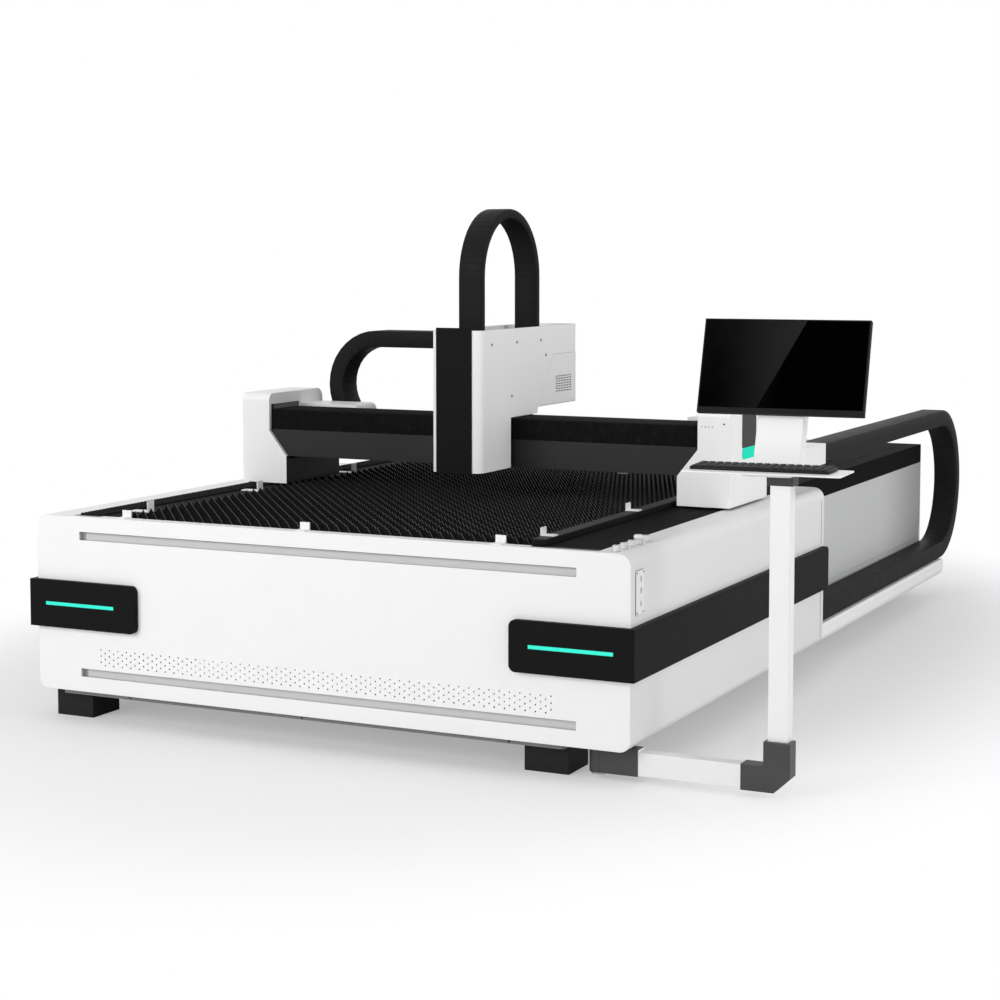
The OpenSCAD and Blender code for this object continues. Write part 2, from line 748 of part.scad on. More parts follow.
// Plates at both ends of the gantry, from the bearing blocks up to the covers' tops
module gantry_side_plates() color("dimgray") on_bed()
    for (x = [plate_left, plate_right])
        along_x(x[0], x[1]) difference() {
            union() {
                translate([plate_ys[0], rail_top + 20])
                    square([plate_ys[1] - plate_ys[0], cover_top - sheet - rail_top - 20]);
                translate([pinion_y - 36, rail_top + 6]) square([72, 30]);
            }
            translate([gantry_y + gantry_d * 0.68, 900]) circle(d = 90);
            translate([pinion_y, pinion_z]) circle(d = shaft_d + 0.1);
        }

// Bearing block that runs over a rail
module bearing_block(w, l, rail_size, low, high) difference() {
    translate([-w / 2, -l / 2, low]) cube([w, l, high - low]);
    translate([-rail_size.x / 2 - 0.5, -l / 2 - 1, low - 1])
        cube([rail_size.x + 1, l + 2, rail_size.y - low + 1.5]);
}

module y_bearing_blocks() color("lightsteelblue") on_bed()
    for (x = [rail_left, rail_right], y = [plate_ys[0] + 50, plate_ys[1] - 50])
        translate([x, y, beam_top]) bearing_block(60, 100, [rail_w, rail_h], 6, rail_h + 20);

// Bridge between the two left bellows, which hang on its end walls
module left_shoe() color("#141414") on_bed() difference() {
    span([bellows_outer + 2, gantry_y + 2, bed_top - 50], [bellows_inner - 2, gantry_rear - 2, cover_bottom]);
    span([bellows_outer, gantry_y + 8, 0], [bellows_inner, gantry_rear - 8, cover_bottom - 6]);
    span([plate_left[0], plate_ys[0], 0], [plate_left[1], plate_ys[1], cover_bottom + 1]);
}

// Servo motors that drive the pinions, flanged to the side plates' inner faces
module y_motors() color("#222222") on_bed()
    for (side = [0, 1])
        translate([gantry_mid, 0, 0]) mirror([side, 0, 0])
            translate([rail_span / 2 - side_plate / 2, pinion_y, pinion_z]) rotate([0, -90, 0]) {
                translate([-30, -30, 0]) cube([60, 60, 12]);
                translate([0, 0, 12]) cylinder(d = 54, h = 50);
                translate([-26, -26, 62]) cube([52, 52, 30]);
            }

// Point on an involute of a circle of radius r at roll angle t
function involute(r, t) = [r * (cos(t) + t * PI / 180 * sin(t)), r * (sin(t) - t * PI / 180 * cos(t))];

// Spur gear outline with involute flanks and a tooth at its lowest point
module gear_outline() {
    r = gear_teeth * gear_module / 2;
    base = r * cos(pressure_angle);
    tip = r + gear_module;
    root = r - 1.25 * gear_module;
    roll_tip = sqrt(pow(tip / base, 2) - 1) * 180 / PI;
    lean = tan(pressure_angle) * 180 / PI - pressure_angle;
    half = 90 / gear_teeth + lean - backlash / r * 180 / PI;
    flank = [for (i = [0 : 4]) involute(base, roll_tip * i / 4)];
    turn = [for (i = [0 : gear_teeth - 1]) 360 * i / gear_teeth - 90];
    polygon([for (a = turn) each concat(
        [[root * cos(a - half - 0.5), root * sin(a - half - 0.5)]],
        [for (p = flank)
            [cos(a - half) * p.x - sin(a - half) * p.y, sin(a - half) * p.x + cos(a - half) * p.y]],
        [for (i = [4 : -1 : 0]) let (p = [flank[i].x, -flank[i].y])
            [cos(a + half) * p.x - sin(a + half) * p.y, sin(a + half) * p.x + cos(a + half) * p.y]],
        [[root * cos(a + half + 0.5), root * sin(a + half + 0.5)]])]);
}

// Pinion and its shaft, reaching from the motor through the side plate to the rack
module pinion() {
    translate([rail_span / 2 + side_plate / 2 + 21, pinion_y, pinion_z]) along_x(0, 20) gear_outline();
    translate([rail_span / 2 - side_plate / 2 + 0.1, pinion_y, pinion_z]) rotate([0, 90, 0])
        cylinder(d = shaft_d, h = side_plate + 21);
}

module right_pinion() color("silver") on_bed() translate([gantry_mid, 0, 0]) pinion();
module left_pinion() color("silver") on_bed() translate([gantry_mid, 0, 0]) mirror([1, 0, 0]) pinion();

module gantry_beam() color("#4a4a4a") on_bed()
    tube_x([plate_left[1], tube_ys[0], tube_zs[0]], [plate_right[0], tube_ys[1], tube_zs[1]], tube_wall);

// Black channel round the beam's front, underside and rear
module beam_cover() color("#2a2a2a") on_bed() {
    along_x(plate_left[1], plate_right[0]) difference() {
        translate([cover_in_y, beam_low]) square([beam_cover_d, beam_cover_h]);
        translate([cover_in_y + sheet, beam_low + sheet]) square([beam_cover_d - 2 * sheet, beam_cover_h]);
    }
    for (x = [-600, gantry_mid, 600])
        span([x - 20, tube_ys[0], beam_low + sheet], [x + 20, tube_ys[1], tube_zs[0]]);
    span([581, cover_in_y + 10, beam_low - 4], [619, cover_in_y + 34, beam_low]);
}

module x_rails() color("silver") on_bed()
    for (y = cross_rail_ys)
        translate([0, y, tube_zs[1]]) along_x(plate_left[1], plate_right[0])
            rail_profile(cross_rail_w, cross_rail_h);

// Accordion cover over the beam's rails, open underneath, with raised folds
module cross_bellows(x0, x1) {
    folds = floor((x1 - x0) / 16);
    pitch = (x1 - x0) / folds;
    low = [cover_in_y, beam_mid];
    high = [cover_out_y, beam_high];
    along_x(x0, x1) difference() {
        translate(low + [2, 0]) square(high - low - [4, 2]);
        translate(low + [5, -1]) square(high - low - [10, 4]);
    }
    for (i = [0 : folds - 1])
        translate([x0 + (i + 0.3) * pitch, 0, 0]) along_x(0, pitch * 0.4) difference() {
            translate(low) square(high - low);
            translate(low + [2, -1]) square(high - low - [4, 1]);
        }
}

module x_bellows() color("#121212") on_bed() {
    cross_bellows(plate_left[1], saddle_xs[0]);
    cross_bellows(saddle_xs[1], plate_right[0]);
}

// Front view of an end cover, with its outer side at 0 and its slanted edge towards +x
module cover_outline(inset) polygon([
    [inset, cover_bottom - (inset > 0 ? 1 : 0)], [cover_foot - inset, cover_bottom - (inset > 0 ? 1 : 0)],
    [cover_foot - inset, slant_bottom], [cover_w - inset, slant_top],
    [cover_w - inset, cover_top - inset], [inset, cover_top - inset]]);

// Side view of an end cover, with rounded upper edges
module cover_side(inset) rounded(
    [gantry_y + inset, cover_bottom - 2], [gantry_rear - inset, cover_top - inset],
    [0, 0, cover_rear_r - inset, cover_front_r - inset]);

// Folded sheet cover over one end of the gantry, with its outer side at x = 0
module end_cover() difference() {
    intersection() {
        along_y(gantry_y, gantry_rear) cover_outline(0);
        along_x(-1, cover_foot + 1) cover_side(0);
    }
    intersection() {
        along_y(gantry_y, gantry_rear) cover_outline(sheet);
        along_x(-1, cover_foot + 1) cover_side(sheet);
    }
    span([cover_w - sheet - 1, cover_in_y - 1, slant_bottom - 10],
         [cover_foot + 1, cover_out_y + 1, beam_high + 19]);
}

module left_end_cover() color("gainsboro") on_bed() translate([cover_left, 0, 0]) end_cover();
module right_end_cover() color("gainsboro") on_bed()
    translate([cover_right, 0, 0]) mirror([1, 0, 0]) end_cover();

// Sheet boxes behind the beam's ends that hold the drives
module motor_boxes() color("whitesmoke") on_bed() {
    difference() {
        along_y(cover_out_y + 11, gantry_rear - 20) rounded([cover_left + cover_w, slant_top],
            [cover_left + cover_w + 260, beam_high + 10], [0, 0, 24, 0]);
        along_y(cover_out_y + 11 + sheet, gantry_rear - 23) rounded([cover_left + cover_w - 1, slant_top - 10],
            [cover_left + cover_w + 257, beam_high + 7], [0, 0, 21, 0]);
    }
    difference() {
        span([cover_right - cover_w - 125, cover_out_y + 11, slant_top],
             [cover_right - cover_w, gantry_rear - 59, beam_high + 10]);
        span([cover_right - cover_w - 122, cover_out_y + 11 + sheet, slant_top - 10],
             [cover_right - cover_w + 1, gantry_rear - 62, beam_high + 7]);
    }
}

// Tray behind the beam for the cross chain's lower run, on three brackets
module x_chain_tray() color("#2a2a2a") on_bed() {
    along_x(cover_left + cover_w, cover_right - cover_w) difference() {
        translate([x_chain_ys[0] - 5, x_tray_z]) square([x_chain_w + 10, 30]);
        translate([x_chain_ys[0] - 2, x_tray_z + 3]) square([x_chain_w + 4, 40]);
    }
    for (x = [-450, gantry_mid, 450])
        span([x - 25, cover_out_y, x_tray_z - 12], [x + 25, x_chain_ys[1], x_tray_z]);
}

module x_chain() color("#222222") on_bed() along_y(x_chain_ys[0], x_chain_ys[1])
    mirror([1, 0]) chain_profile([-x_bend.x, x_bend.y], x_chain_r, x_chain_t, -head_left, -gantry_mid);

// Channel that joins the gantry's right end to the long chain
module chain_bracket() color("whitesmoke") on_bed() difference() {
    span([cover_right - 40, gantry_rear, y_bend.y + y_chain_r - y_chain_t - 4],
         [y_chain_x[1], y_chain_start, y_bend.y + y_chain_r]);
    span([cover_right - 37, gantry_rear + 3, 0],
         [y_chain_x[1] - 3, y_chain_start - 3, y_bend.y + y_chain_r - 3]);
}

// Block on the cross rails that carries the cutting head, with its four bearings
module saddle() color("dimgray") on_bed() {
    difference() {
        union() {
            span([saddle_xs[0], cover_in_y + 4, saddle_low], [saddle_xs[1], cover_out_y - 5, saddle_high]);
            span([saddle_xs[0], drive_ys[1], beam_high + pass], [saddle_xs[1], cover_in_y + 4, saddle_high]);
        }
        translate([head_mid, gantry_y + 120, 0]) cylinder(d = 40, h = saddle_high + 1);
    }
    for (x = [saddle_xs[0] + 40, saddle_xs[1] - 40], y = cross_rail_ys)
        translate([x, y, tube_zs[1]]) rotate(90)
            bearing_block(40, 60, [cross_rail_w, cross_rail_h], 4, saddle_low - tube_zs[1]);
}

// Plan of the head housing, with a wide radius on its front right corner
module housing_plan(inset) rounded(
    [head_left + inset, head_y + inset], [head_right - inset, head_rear - inset],
    [corner_r / 4 - inset, corner_r - inset, corner_r / 4 - inset, corner_r / 4 - inset]);

// Side view of the head housing
module housing_side(inset) polygon([
    [head_y + inset, head_bottom + inset], [head_back - inset, head_bottom + inset],
    [head_back - inset, beam_high + pass + inset], [cover_out_y + 5 + inset, beam_high + pass + inset],
    [cover_out_y + 9 + inset, head_shelf + inset], [head_rear - inset, head_shelf + inset],
    [head_rear - inset, head_top - inset], [head_y + inset, head_top - inset]]);

// Slanted outline of the access panel in the housing's right side
module access_outline(inset) polygon([
    [head_y + 489 + 1.5 * inset, head_shelf + sheet + inset],
    [head_y + 621 + inset, head_shelf + 191 - inset],
    [head_rear - sheet - inset, head_shelf + 191 - inset],
    [head_rear - sheet - inset, head_shelf + sheet + inset]]);

module head_housing() color("gainsboro") on_bed() difference() {
    linear_extrude(head_top) housing_plan(0);
    difference() {
        span([head_left - 1, head_y - 1, -1], [head_right + 1, head_rear + 1, head_top + 1]);
        along_x(head_left, head_right) housing_side(0);
    }
    intersection() {
        along_x(head_left, head_right) housing_side(sheet);
        linear_extrude(head_top) housing_plan(sheet);
    }
    translate([0, 0, lid_z]) linear_extrude(head_top) housing_plan(sheet);
    span([head_left + sheet, head_back - sheet, beam_high], [head_right - sheet, cover_out_y, beam_high + 12]);
    translate([head_mid, nozzle_y, head_bottom - 1]) cylinder(d = 76, h = 10);
    along_x(head_right - sheet - 1, head_right + 1) access_outline(0);
}

module head_front_cover() color("#161616") on_bed() difference() {
    span([head_left + 17, head_y - 6, head_bottom - 5], [head_right - 34, head_y, head_top + 9]);
    span([head_left + 20, head_y - 3, head_bottom - 2], [head_right - 37, head_y + 1, head_top + 6]);
}

// Access panel with a ventilation grille of seven rows of slots
module access_panel() color("gainsboro") on_bed() difference() {
    along_x(head_right - sheet, head_right) access_outline(0.8);
    for (row = [0 : 6], column = [0 : 5])
        span([head_right - 10, head_y + 645 + column * 25, head_shelf + 46 + row * 9.5],
             [head_right + 10, head_y + 663 + column * 25, head_shelf + 50 + row * 9.5]);
}

// Fixed part of the head's vertical drive: back plate, rails, lid and motor
module head_drive() color("gray") on_bed() {
    span([head_left + 25, drive_ys[0], head_bottom + 15], [head_right - 25, drive_ys[1], lid_z - 50]);
    for (x = [head_mid - 45, head_mid + 45])
        translate([x, drive_ys[0], 0]) span([-10, -14, head_bottom + 25], [10, 0, lid_z - 60]);
    difference() {
        translate([0, 0, lid_z]) linear_extrude(sheet) housing_plan(sheet);
        span([z_chain_x[0] - 5, z_bend.x - z_chain_r - 5, lid_z - 5],
             [z_chain_x[1] + 5, z_bend.x - z_chain_r + z_chain_t + 5, lid_z + 10]);
    }
    span([head_mid - 45, drive_ys[0] - 66, lid_z - 50], [head_mid + 45, drive_ys[1], lid_z - 40]);
    span([head_mid - 40, drive_ys[0] - 60, lid_z - 40], [head_mid + 40, drive_ys[1], lid_z]);
}

// Ball screw between the motor and the slide
module z_screw() color("silver") on_bed()
    translate([head_mid, drive_ys[0] - 20, head_bottom + 50])
        cylinder(d = 16, h = lid_z - 50.1 - head_bottom - 50);

module z_chain() color("#222222") on_bed() along_x(z_chain_x[0], z_chain_x[1])
    translate(z_bend) rotate(90) mirror([0, 1])
        chain_profile([0, 0], z_chain_r, z_chain_t, lid_z + sheet - z_bend.y, slide_top - z_bend.y);

// Plate that slides up and down and carries the cutting head
module z_slide() color("silver") on_bed() {
    low = head_bottom + z_travel + 10;
    difference() {
        span([head_left + 35, slide_front, low], [head_right - 35, slide_front + 16, slide_top + 10]);
        translate([head_mid, drive_ys[0] - 20, 0]) cylinder(d = 17, h = head_top);
    }
    for (x = [head_mid - 45, head_mid + 45], z = [low + 20, slide_top - 70])
        difference() {
            span([x - 17, slide_front + 16, z], [x + 17, drive_ys[0] - 2, z + 60]);
            span([x - 10.5, drive_ys[0] - 14.5, z - 1], [x + 10.5, drive_ys[0], z + 61]);
        }
    difference() {
        span([head_mid - 22, slide_front + 16, low + 90], [head_mid + 22, drive_ys[0] - 4, low + 130]);
        translate([head_mid, drive_ys[0] - 20, 0]) cylinder(d = 16.1, h = head_top);
    }
    span([z_chain_x[0], z_bend.x - z_chain_r - 4, slide_top - 10], [z_chain_x[1], slide_front, slide_top]);
    span([head_mid - 35, nozzle_y + 34, low + 5], [head_mid + 35, slide_front, slide_top - 60]);
}

// Cutting head: collimator, focus unit, sensor ring and nozzle with its gas bore
module cutting_head() color("#c08050") on_bed() translate([head_mid, nozzle_y, 0]) difference() {
    union() {
        translate([-32, -32, head_bottom + 140]) cube([64, 66, 140]);
        translate([0, 0, head_bottom + 60]) cylinder(r = 30, h = 80);
        translate([0, 0, head_bottom + 280]) cylinder(r = 26, h = 40);
        translate([0, 0, head_bottom + 20]) cylinder(r1 = 9, r2 = 28, h = 40);
        translate([0, 0, head_bottom + 8]) cylinder(r1 = 4, r2 = 9, h = 12);
    }
    translate([0, 0, head_bottom]) cylinder(d = 3, h = 30);
}

// Swing arm: clamp round the pivot pin, square tube and mitred elbow
module swing_arm() color("#333333") on_bed() {
    tube_y = pivot_y - arm_w / 2 - 2;
    difference() {
        union() {
            translate([pivot_x, pivot_y, 20]) cylinder(r = 30, h = 82);
            span([pivot_x, pivot_y - 26, 20], [pivot_x + 138, pivot_y + 26, 102]);
        }
        translate([pivot_x, pivot_y, 10]) cylinder(d = 30.1, h = 100);
        span([pivot_x + 117, tube_y, 23], [pivot_x + 200, tube_y + arm_w, 23 + arm_h]);
    }
    difference() {
        span([pivot_x + 117, tube_y, 23], [column_x - 38, tube_y + arm_w, 23 + arm_h]);
        span([pivot_x + 120, tube_y + 3, 26], [column_x, tube_y + arm_w - 3, 20 + arm_h]);
    }
    along_y(tube_y - 5, tube_y + arm_w + 5) polygon([
        [column_x - 110, 20], [column_x - 8, 20], [column_x + 42, 67], [column_x + 42, 171],
        [column_x - 40, 171], [column_x - 40, 98], [column_x - 110, 98]]);
}

module console_column() color("gainsboro") on_bed() {
    difference() {
        translate([column_x - column_w / 2, pivot_y + 5.5 - column_d / 2, 171])
            cube([column_w, column_d, column_top - 171]);
        translate([column_x - column_w / 2 + 3, pivot_y + 5.5 - column_d / 2 + 3, 170])
            cube([column_w - 6, column_d - 6, column_top - 170 - 6]);
    }
    translate([column_x - 40, pivot_y - 20.5, column_top]) cube([79, 52, 24]);
    translate([column_x, pivot_y + 5.5, column_top + 24]) cylinder(d = 20, h = 11);
}

// Places what turns with the console's head, with the column's axis at 0
module on_head() translate([column_x, pivot_y + 5.5, 0]) rotate(head_yaw) children();

// Depth of the stand's front face at a height, which leans back like the monitor
function stand_front(z) = screen_mid.y + 26 - tan(screen_tilt) * (screen_mid.z - z);

// Side of the stand
module stand_outline() polygon([
    [stand_front(tray_z), tray_z], [stand_front(tray_z) + 54, tray_z], [hinge_y + 22, hinge_z - 24],
    [hinge_y + 22, hinge_z + 8], [hinge_y + 12, stand_top], [stand_front(stand_top), stand_top]]);

// Section of the stand's front plate, from the tray up to the stand's top
module stand_plate() polygon([
    [stand_front(tray_z), tray_z], [stand_front(tray_z) + stand_t, tray_z],
    [stand_front(stand_top) + stand_t, stand_top], [stand_front(stand_top), stand_top]]);

// Keyboard tray on its support plate, and the folded stand that carries the monitor
module console_head() color("whitesmoke") on_bed() on_head() {
    translate([tray_mid.x - tray_w / 2, tray_mid.y - tray_d / 2, tray_z - tray_t])
        linear_extrude(tray_t) rounded([0, 0], [tray_w, tray_d], [10, 10, 10, 10]);
    difference() {
        span([screen_mid.x - stand_w / 2, -26, column_top + 24.3],
             [30, stand_front(tray_z) + 54, tray_z - tray_t]);
        translate([0, 0, column_top]) cylinder(d = 20.1, h = 36);
    }
    span([screen_mid.x - stand_w / 2, tray_mid.y + tray_d / 2, tray_z - tray_t],
         [screen_mid.x + stand_w / 2, stand_front(tray_z) + 54, tray_z]);
    for (x = [screen_mid.x - stand_w / 2, screen_mid.x + stand_w / 2 - stand_t])
        along_x(x, x + stand_t) difference() {
            stand_outline();
            translate([hinge_y, hinge_z]) circle(d = 16.2);
        }
    along_x(screen_mid.x - stand_w / 2 + stand_t, screen_mid.x + stand_w / 2 - stand_t) stand_plate();
}

// Keyboard with five rows of keys on its case
module keyboard() color("#1b1b1b") on_bed() on_head() translate([tray_mid.x - 226, tray_mid.y - 45, tray_z]) {
    linear_extrude(9) rounded([0, 0], [420, 118], [6, 6, 6, 6]);
    for (row = [0 : 4], column = [0 : 16])
        translate([6 + column * 24, 5 + row * 22, 9]) cube([21, 19, 6]);
}

// Monitor with its shell, recessed glass, rear housing and hinge arm
module monitor() color("#161616") on_bed() on_head() {
    translate(screen_mid) rotate([-screen_tilt, 0, 0]) {
        difference() {
            translate([-screen_w / 2, 0, -screen_h / 2]) cube([screen_w, screen_t, screen_h]);
            translate([-screen_w / 2 + 4, -1, -screen_h / 2 + 17]) cube([screen_w - 8, 3, screen_h - 21]);
        }
        translate([-110, screen_t, -40]) cube([220, 18, 150]);
        along_x(-30, 30) polygon([[screen_t + 18, -38], [screen_t + 18, 10], [61, -50], [61, -66], [50, -66]]);
    }
    translate([screen_mid.x - stand_w / 2, hinge_y, hinge_z]) rotate([0, 90, 0]) cylinder(d = 16, h = stand_w);
}

base_frame();
feet();
rail_beams();
slat_frame();
slats();
edge_stops();
front_panel();
front_sill();
right_front_cover();
left_front_cover();
guards();
light_strips();
port_plate();
rear_side_panels();
chain_ledges();
rear_panel();
rear_deck();
right_inner_rail_cover();
right_outer_rail_cover();
left_rail_cover();
y_rails();
left_bellows();
y_chain();
pivot_pin();
button_bezels();
button_1();
button_2();
button_3();
button_4();
emergency_stop();
gantry_side_plates();
y_bearing_blocks();
left_shoe();
gantry_beam();
beam_cover();
x_rails();
x_bellows();
left_end_cover();
right_end_cover();
motor_boxes();
x_chain_tray();
x_chain();
chain_bracket();
y_motors();
left_pinion();
right_pinion();
saddle();
head_housing();
head_front_cover();
access_panel();
head_drive();
z_screw();
z_chain();
z_slide();
cutting_head();
swing_arm();
console_column();
console_head();
keyboard();
monitor();
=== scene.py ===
import math

import bmesh
import bpy
import numpy as np
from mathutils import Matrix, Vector


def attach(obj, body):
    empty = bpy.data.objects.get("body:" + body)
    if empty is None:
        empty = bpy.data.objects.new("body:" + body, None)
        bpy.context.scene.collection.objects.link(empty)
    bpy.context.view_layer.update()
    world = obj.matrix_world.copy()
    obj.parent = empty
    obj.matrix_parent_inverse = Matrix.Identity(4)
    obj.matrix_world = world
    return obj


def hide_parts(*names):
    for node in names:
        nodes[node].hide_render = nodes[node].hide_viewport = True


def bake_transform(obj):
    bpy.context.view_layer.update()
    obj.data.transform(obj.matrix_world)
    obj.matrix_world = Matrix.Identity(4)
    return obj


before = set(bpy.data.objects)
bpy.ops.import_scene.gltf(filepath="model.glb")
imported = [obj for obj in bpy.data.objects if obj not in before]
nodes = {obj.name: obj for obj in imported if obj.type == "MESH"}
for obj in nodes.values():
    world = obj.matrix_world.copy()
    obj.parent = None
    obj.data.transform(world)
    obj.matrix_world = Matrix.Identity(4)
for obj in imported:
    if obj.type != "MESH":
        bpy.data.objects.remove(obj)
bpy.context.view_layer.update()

# Camera: an onlooker's eye, in front of the machine's right corner and turned to the left,
# slightly downwards, as the photograph was taken.
eye = bpy.data.objects.new("eye", bpy.data.cameras.new("eye"))
eye.data.sensor_width = 36
eye.data.lens = 74.43
eye.data.shift_y = -0.0829
eye.location = (3.5105, -7.587, 1.603)
eye.rotation_euler = [math.radians(angle) for angle in (85.431, 0, 25.893)]
bpy.context.scene.collection.objects.link(eye)
bpy.context.scene.camera = eye
bpy.context.scene.view_settings.view_transform = "Standard"


# Base frame: square tubes welded into a ladder under the covers, brushed with grey primer
# before the machine is levelled on its four feet.
class Wire:
    """One output in a finish's node tree. Arithmetic on wires adds Math nodes to that tree."""

    def __init__(self, tree, socket):
        self.tree = tree
        self.socket = socket

    def node(self, kind, settings=None, inputs=None, output=0):
        """Adds a node of a kind: its settings first, then the values or wires of its sockets."""
        made = self.tree.nodes.new(kind)
        for name, value in (settings or {}).items():
            setattr(made, name, value)
        for name, value in (inputs or {}).items():
            if isinstance(value, Wire):
                self.tree.links.new(value.socket, made.inputs[name])
            else:
                made.inputs[name].default_value = value
        return Wire(self.tree, made.outputs[output])

    def math(self, operation, first, second=0.0):
        return self.node("ShaderNodeMath", {"operation": operation}, {0: first, 1: second})

    def __add__(self, other):
        return self.math("ADD", self, other)

    def __sub__(self, other):
        return self.math("SUBTRACT", self, other)

    def __rsub__(self, other):
        return self.math("SUBTRACT", other, self)

    def __mul__(self, other):
        return self.math("MULTIPLY", self, other)

    def __truediv__(self, other):
        return self.math("DIVIDE", self, other)

    def __mod__(self, other):
        return self.math("FLOORED_MODULO", self, other)

    def __gt__(self, other):
        return self.math("GREATER_THAN", self, other)

    def __lt__(self, other):
        return self.math("LESS_THAN", self, other)

    def __abs__(self):
        return self.math("ABSOLUTE", self)

    __radd__ = __add__
    __rmul__ = __mul__

    def within(self, low, high):
        """Mask that is 1 between two values."""
        return (self > low) * (self < high)

    def rise(self, low, high):
        """Mask that goes smoothly from 0 at low to 1 at high."""
        return self.node("ShaderNodeMapRange", {"interpolation_type": "SMOOTHSTEP"},
                         {"Value": self, "From Min": low, "From Max": high})

    def blend(self, low, high):
        """Colour that goes from low, where this wire is 0, to high, where it is 1."""
        return self.node("ShaderNodeMix", {"data_type": "RGBA"}, {0: self, 6: low, 7: high}, 2)

    def grain(self, scale, detail=2.0, stretch=None):
        """Noise at this place, with so many waves to the metre, stretched along the axes."""
        spot = self
        if stretch:
            spot = self.node("ShaderNodeMapping", {}, {"Vector": self, "Scale": stretch})
        return self.node("ShaderNodeTexNoise", {}, {"Vector": spot, "Scale": scale, "Detail": detail})

    def relief(self, depth, strength=1.0, edge=0.0):
        """Normal of a surface that this wire raises by up to depth, over edges rounded to a radius."""
        inputs = {"Height": self, "Strength": strength, "Distance": depth}
        if edge:
            inputs["Normal"] = self.node("ShaderNodeBevel", {"samples": 4}, {"Radius": edge})
        return self.node("ShaderNodeBump", {}, inputs)

    def axes(self):
        """The three coordinates of this place."""
        return [self.node("ShaderNodeSeparateXYZ", {}, {0: self}, axis) for axis in range(3)]


class Finish:
    """A material: constants go straight on its shader's sockets, wires feed those that vary."""

    def __init__(self, name, **constants):
        self.material = bpy.data.materials.new(name)
        self.material.use_nodes = True
        tree = self.material.node_tree
        self.shader = tree.nodes["Principled BSDF"]
        self.place = Wire(tree, tree.nodes.new("ShaderNodeTexCoord").outputs["Object"])
        for socket, value in constants.items():
            self.shader.inputs[socket.replace("_", " ")].default_value = value

    def feed(self, **wires):
        """Links each wire to the shader's socket of its name."""
        for socket, wire in wires.items():
            wire.tree.links.new(wire.socket, self.shader.inputs[socket.replace("_", " ")])
        return self

    def on(self, *pieces):
        """Puts the finish on CAD nodes, named by their names, or on new pieces."""
        for piece in pieces:
            made = nodes[piece] if isinstance(piece, str) else piece
            made.data.materials.clear()
            made.data.materials.append(self.material)
        return self


def shade(level, warm=0.0):
    """Grey of a level, a little warmer or cooler."""
    return (level * (1 + warm), level, level * (1 - warm), 1)


def brushed_paint(name, level, rough):
    """Brush-on paint: long brush marks along y, dull patches and a few dark specks."""
    paint = Finish(name, Specular_IOR_Level=0.4)
    marks = paint.place.grain(240, 3, (1, 0.06, 1))
    patches = paint.place.grain(7, 4)
    specks = paint.place.grain(160, 1).rise(0.72, 0.78)
    tone = (patches * 0.6 + marks * 0.4 - specks * 0.5).blend(shade(level * 0.72, 0.02),
                                                              shade(level * 1.2, 0.02))
    return paint.feed(Base_Color=tone, Roughness=rough + 0.2 * (patches - 0.5),
                      Normal=(marks + patches).relief(0.0004, 0.6, 0.003))


brushed_paint("grey_primer", 0.2, 0.6).on("base_frame", "front_sill")

# Feet: four square boxes of thick plate, open on their inner side for the anchor stud,
# sprayed with a coarse black texture paint.
def texture_paint(name, level, rough, scale, edge=0.002):
    """Texture paint: small dense lumps whose tops are painted lighter as a highlight, worn smoother in faint
    patches.
    """
    paint = Finish(name, Specular_IOR_Level=0.15)
    lumps = paint.place.grain(scale, 2)
    patches = paint.place.grain(4.3, 3)
    tone = (lumps * 0.5 + patches * 0.5).blend(shade(level * 0.7), shade(level * 1.35))
    return paint.feed(Base_Color=tone, Roughness=rough + 0.16 * (patches - 0.5),
                      Normal=lumps.relief(0.0005, 0.5, edge))


texture_paint("foot_paint", 0.012, 0.5, 520, 0.003).on("feet")

# Slat table: saw-toothed strips cut from 3 mm steel, stood in notched bars. Heat has blued
# them, and drops of slag sit near the tips, while the cut edges still shine.
heat = Finish("heated_steel", Metallic=0.3, Specular_IOR_Level=0.05)
_, _, slat_height = heat.place.axes()
_, slat_facing, _ = heat.place.node("ShaderNodeNewGeometry", output=1).axes()
cut_edge = abs(slat_facing) < 0.5
soot = heat.place.grain(14, 4)
slag = heat.place.grain(330, 2, (1, 1, 0.6)).rise(0.62, 0.7) * slat_height.rise(0.69, 0.727)
blued = (soot * 0.7 + slag * 0.3).blend((0.004, 0.004, 0.006, 1), (0.020, 0.017, 0.015, 1))
heat.feed(Base_Color=(cut_edge * (0.4 + soot * 0.4)).blend(blued, (0.24, 0.24, 0.25, 1)),
          Roughness=0.62 - 0.2 * cut_edge + 0.2 * (soot - 0.5),
          Normal=(soot * 0.3 + slag).relief(0.0012, 0.8))
heat.on("slats")
texture_paint("table_paint", 0.02, 0.55, 300).on("slat_frame")


# Covers of the bed: 3 mm sheet steel, folded over its edges and powder coated in satin white.
# The coat has a fine orange peel and catches a little dust on its upper faces.
def powder_coat(name, level, shine, peel=0.3, edge=0.002, dust=0.04, gloss=0.42):
    """Powder coat: orange peel in the relief, slow clouds in gloss, dust where it faces up."""
    coat = Finish(name, Specular_IOR_Level=gloss)
    peel_grain = coat.place.grain(460, 2)
    clouds = coat.place.grain(2.6, 3)
    _, _, up = coat.place.node("ShaderNodeNewGeometry", output=1).axes()
    dusty = up.rise(0.6, 1.0) * coat.place.grain(60, 4).rise(0.45, 0.7) * dust
    tone = (clouds * 0.8 + dusty).blend(shade(level * 0.975), shade(min(level * 1.02, 0.95)))
    return coat.feed(Base_Color=tone,
                     Roughness=shine + 0.08 * (clouds - 0.5) + dusty * 2.0 + 0.03 * peel_grain,
                     Normal=peel_grain.relief(0.00025, peel, edge))


white_coat = powder_coat("white_powder_coat", 0.92, 0.36)
white_coat.on("left_front_cover", "rear_panel", "chain_ledges", "chain_bracket", "motor_boxes",
              "right_end_cover")


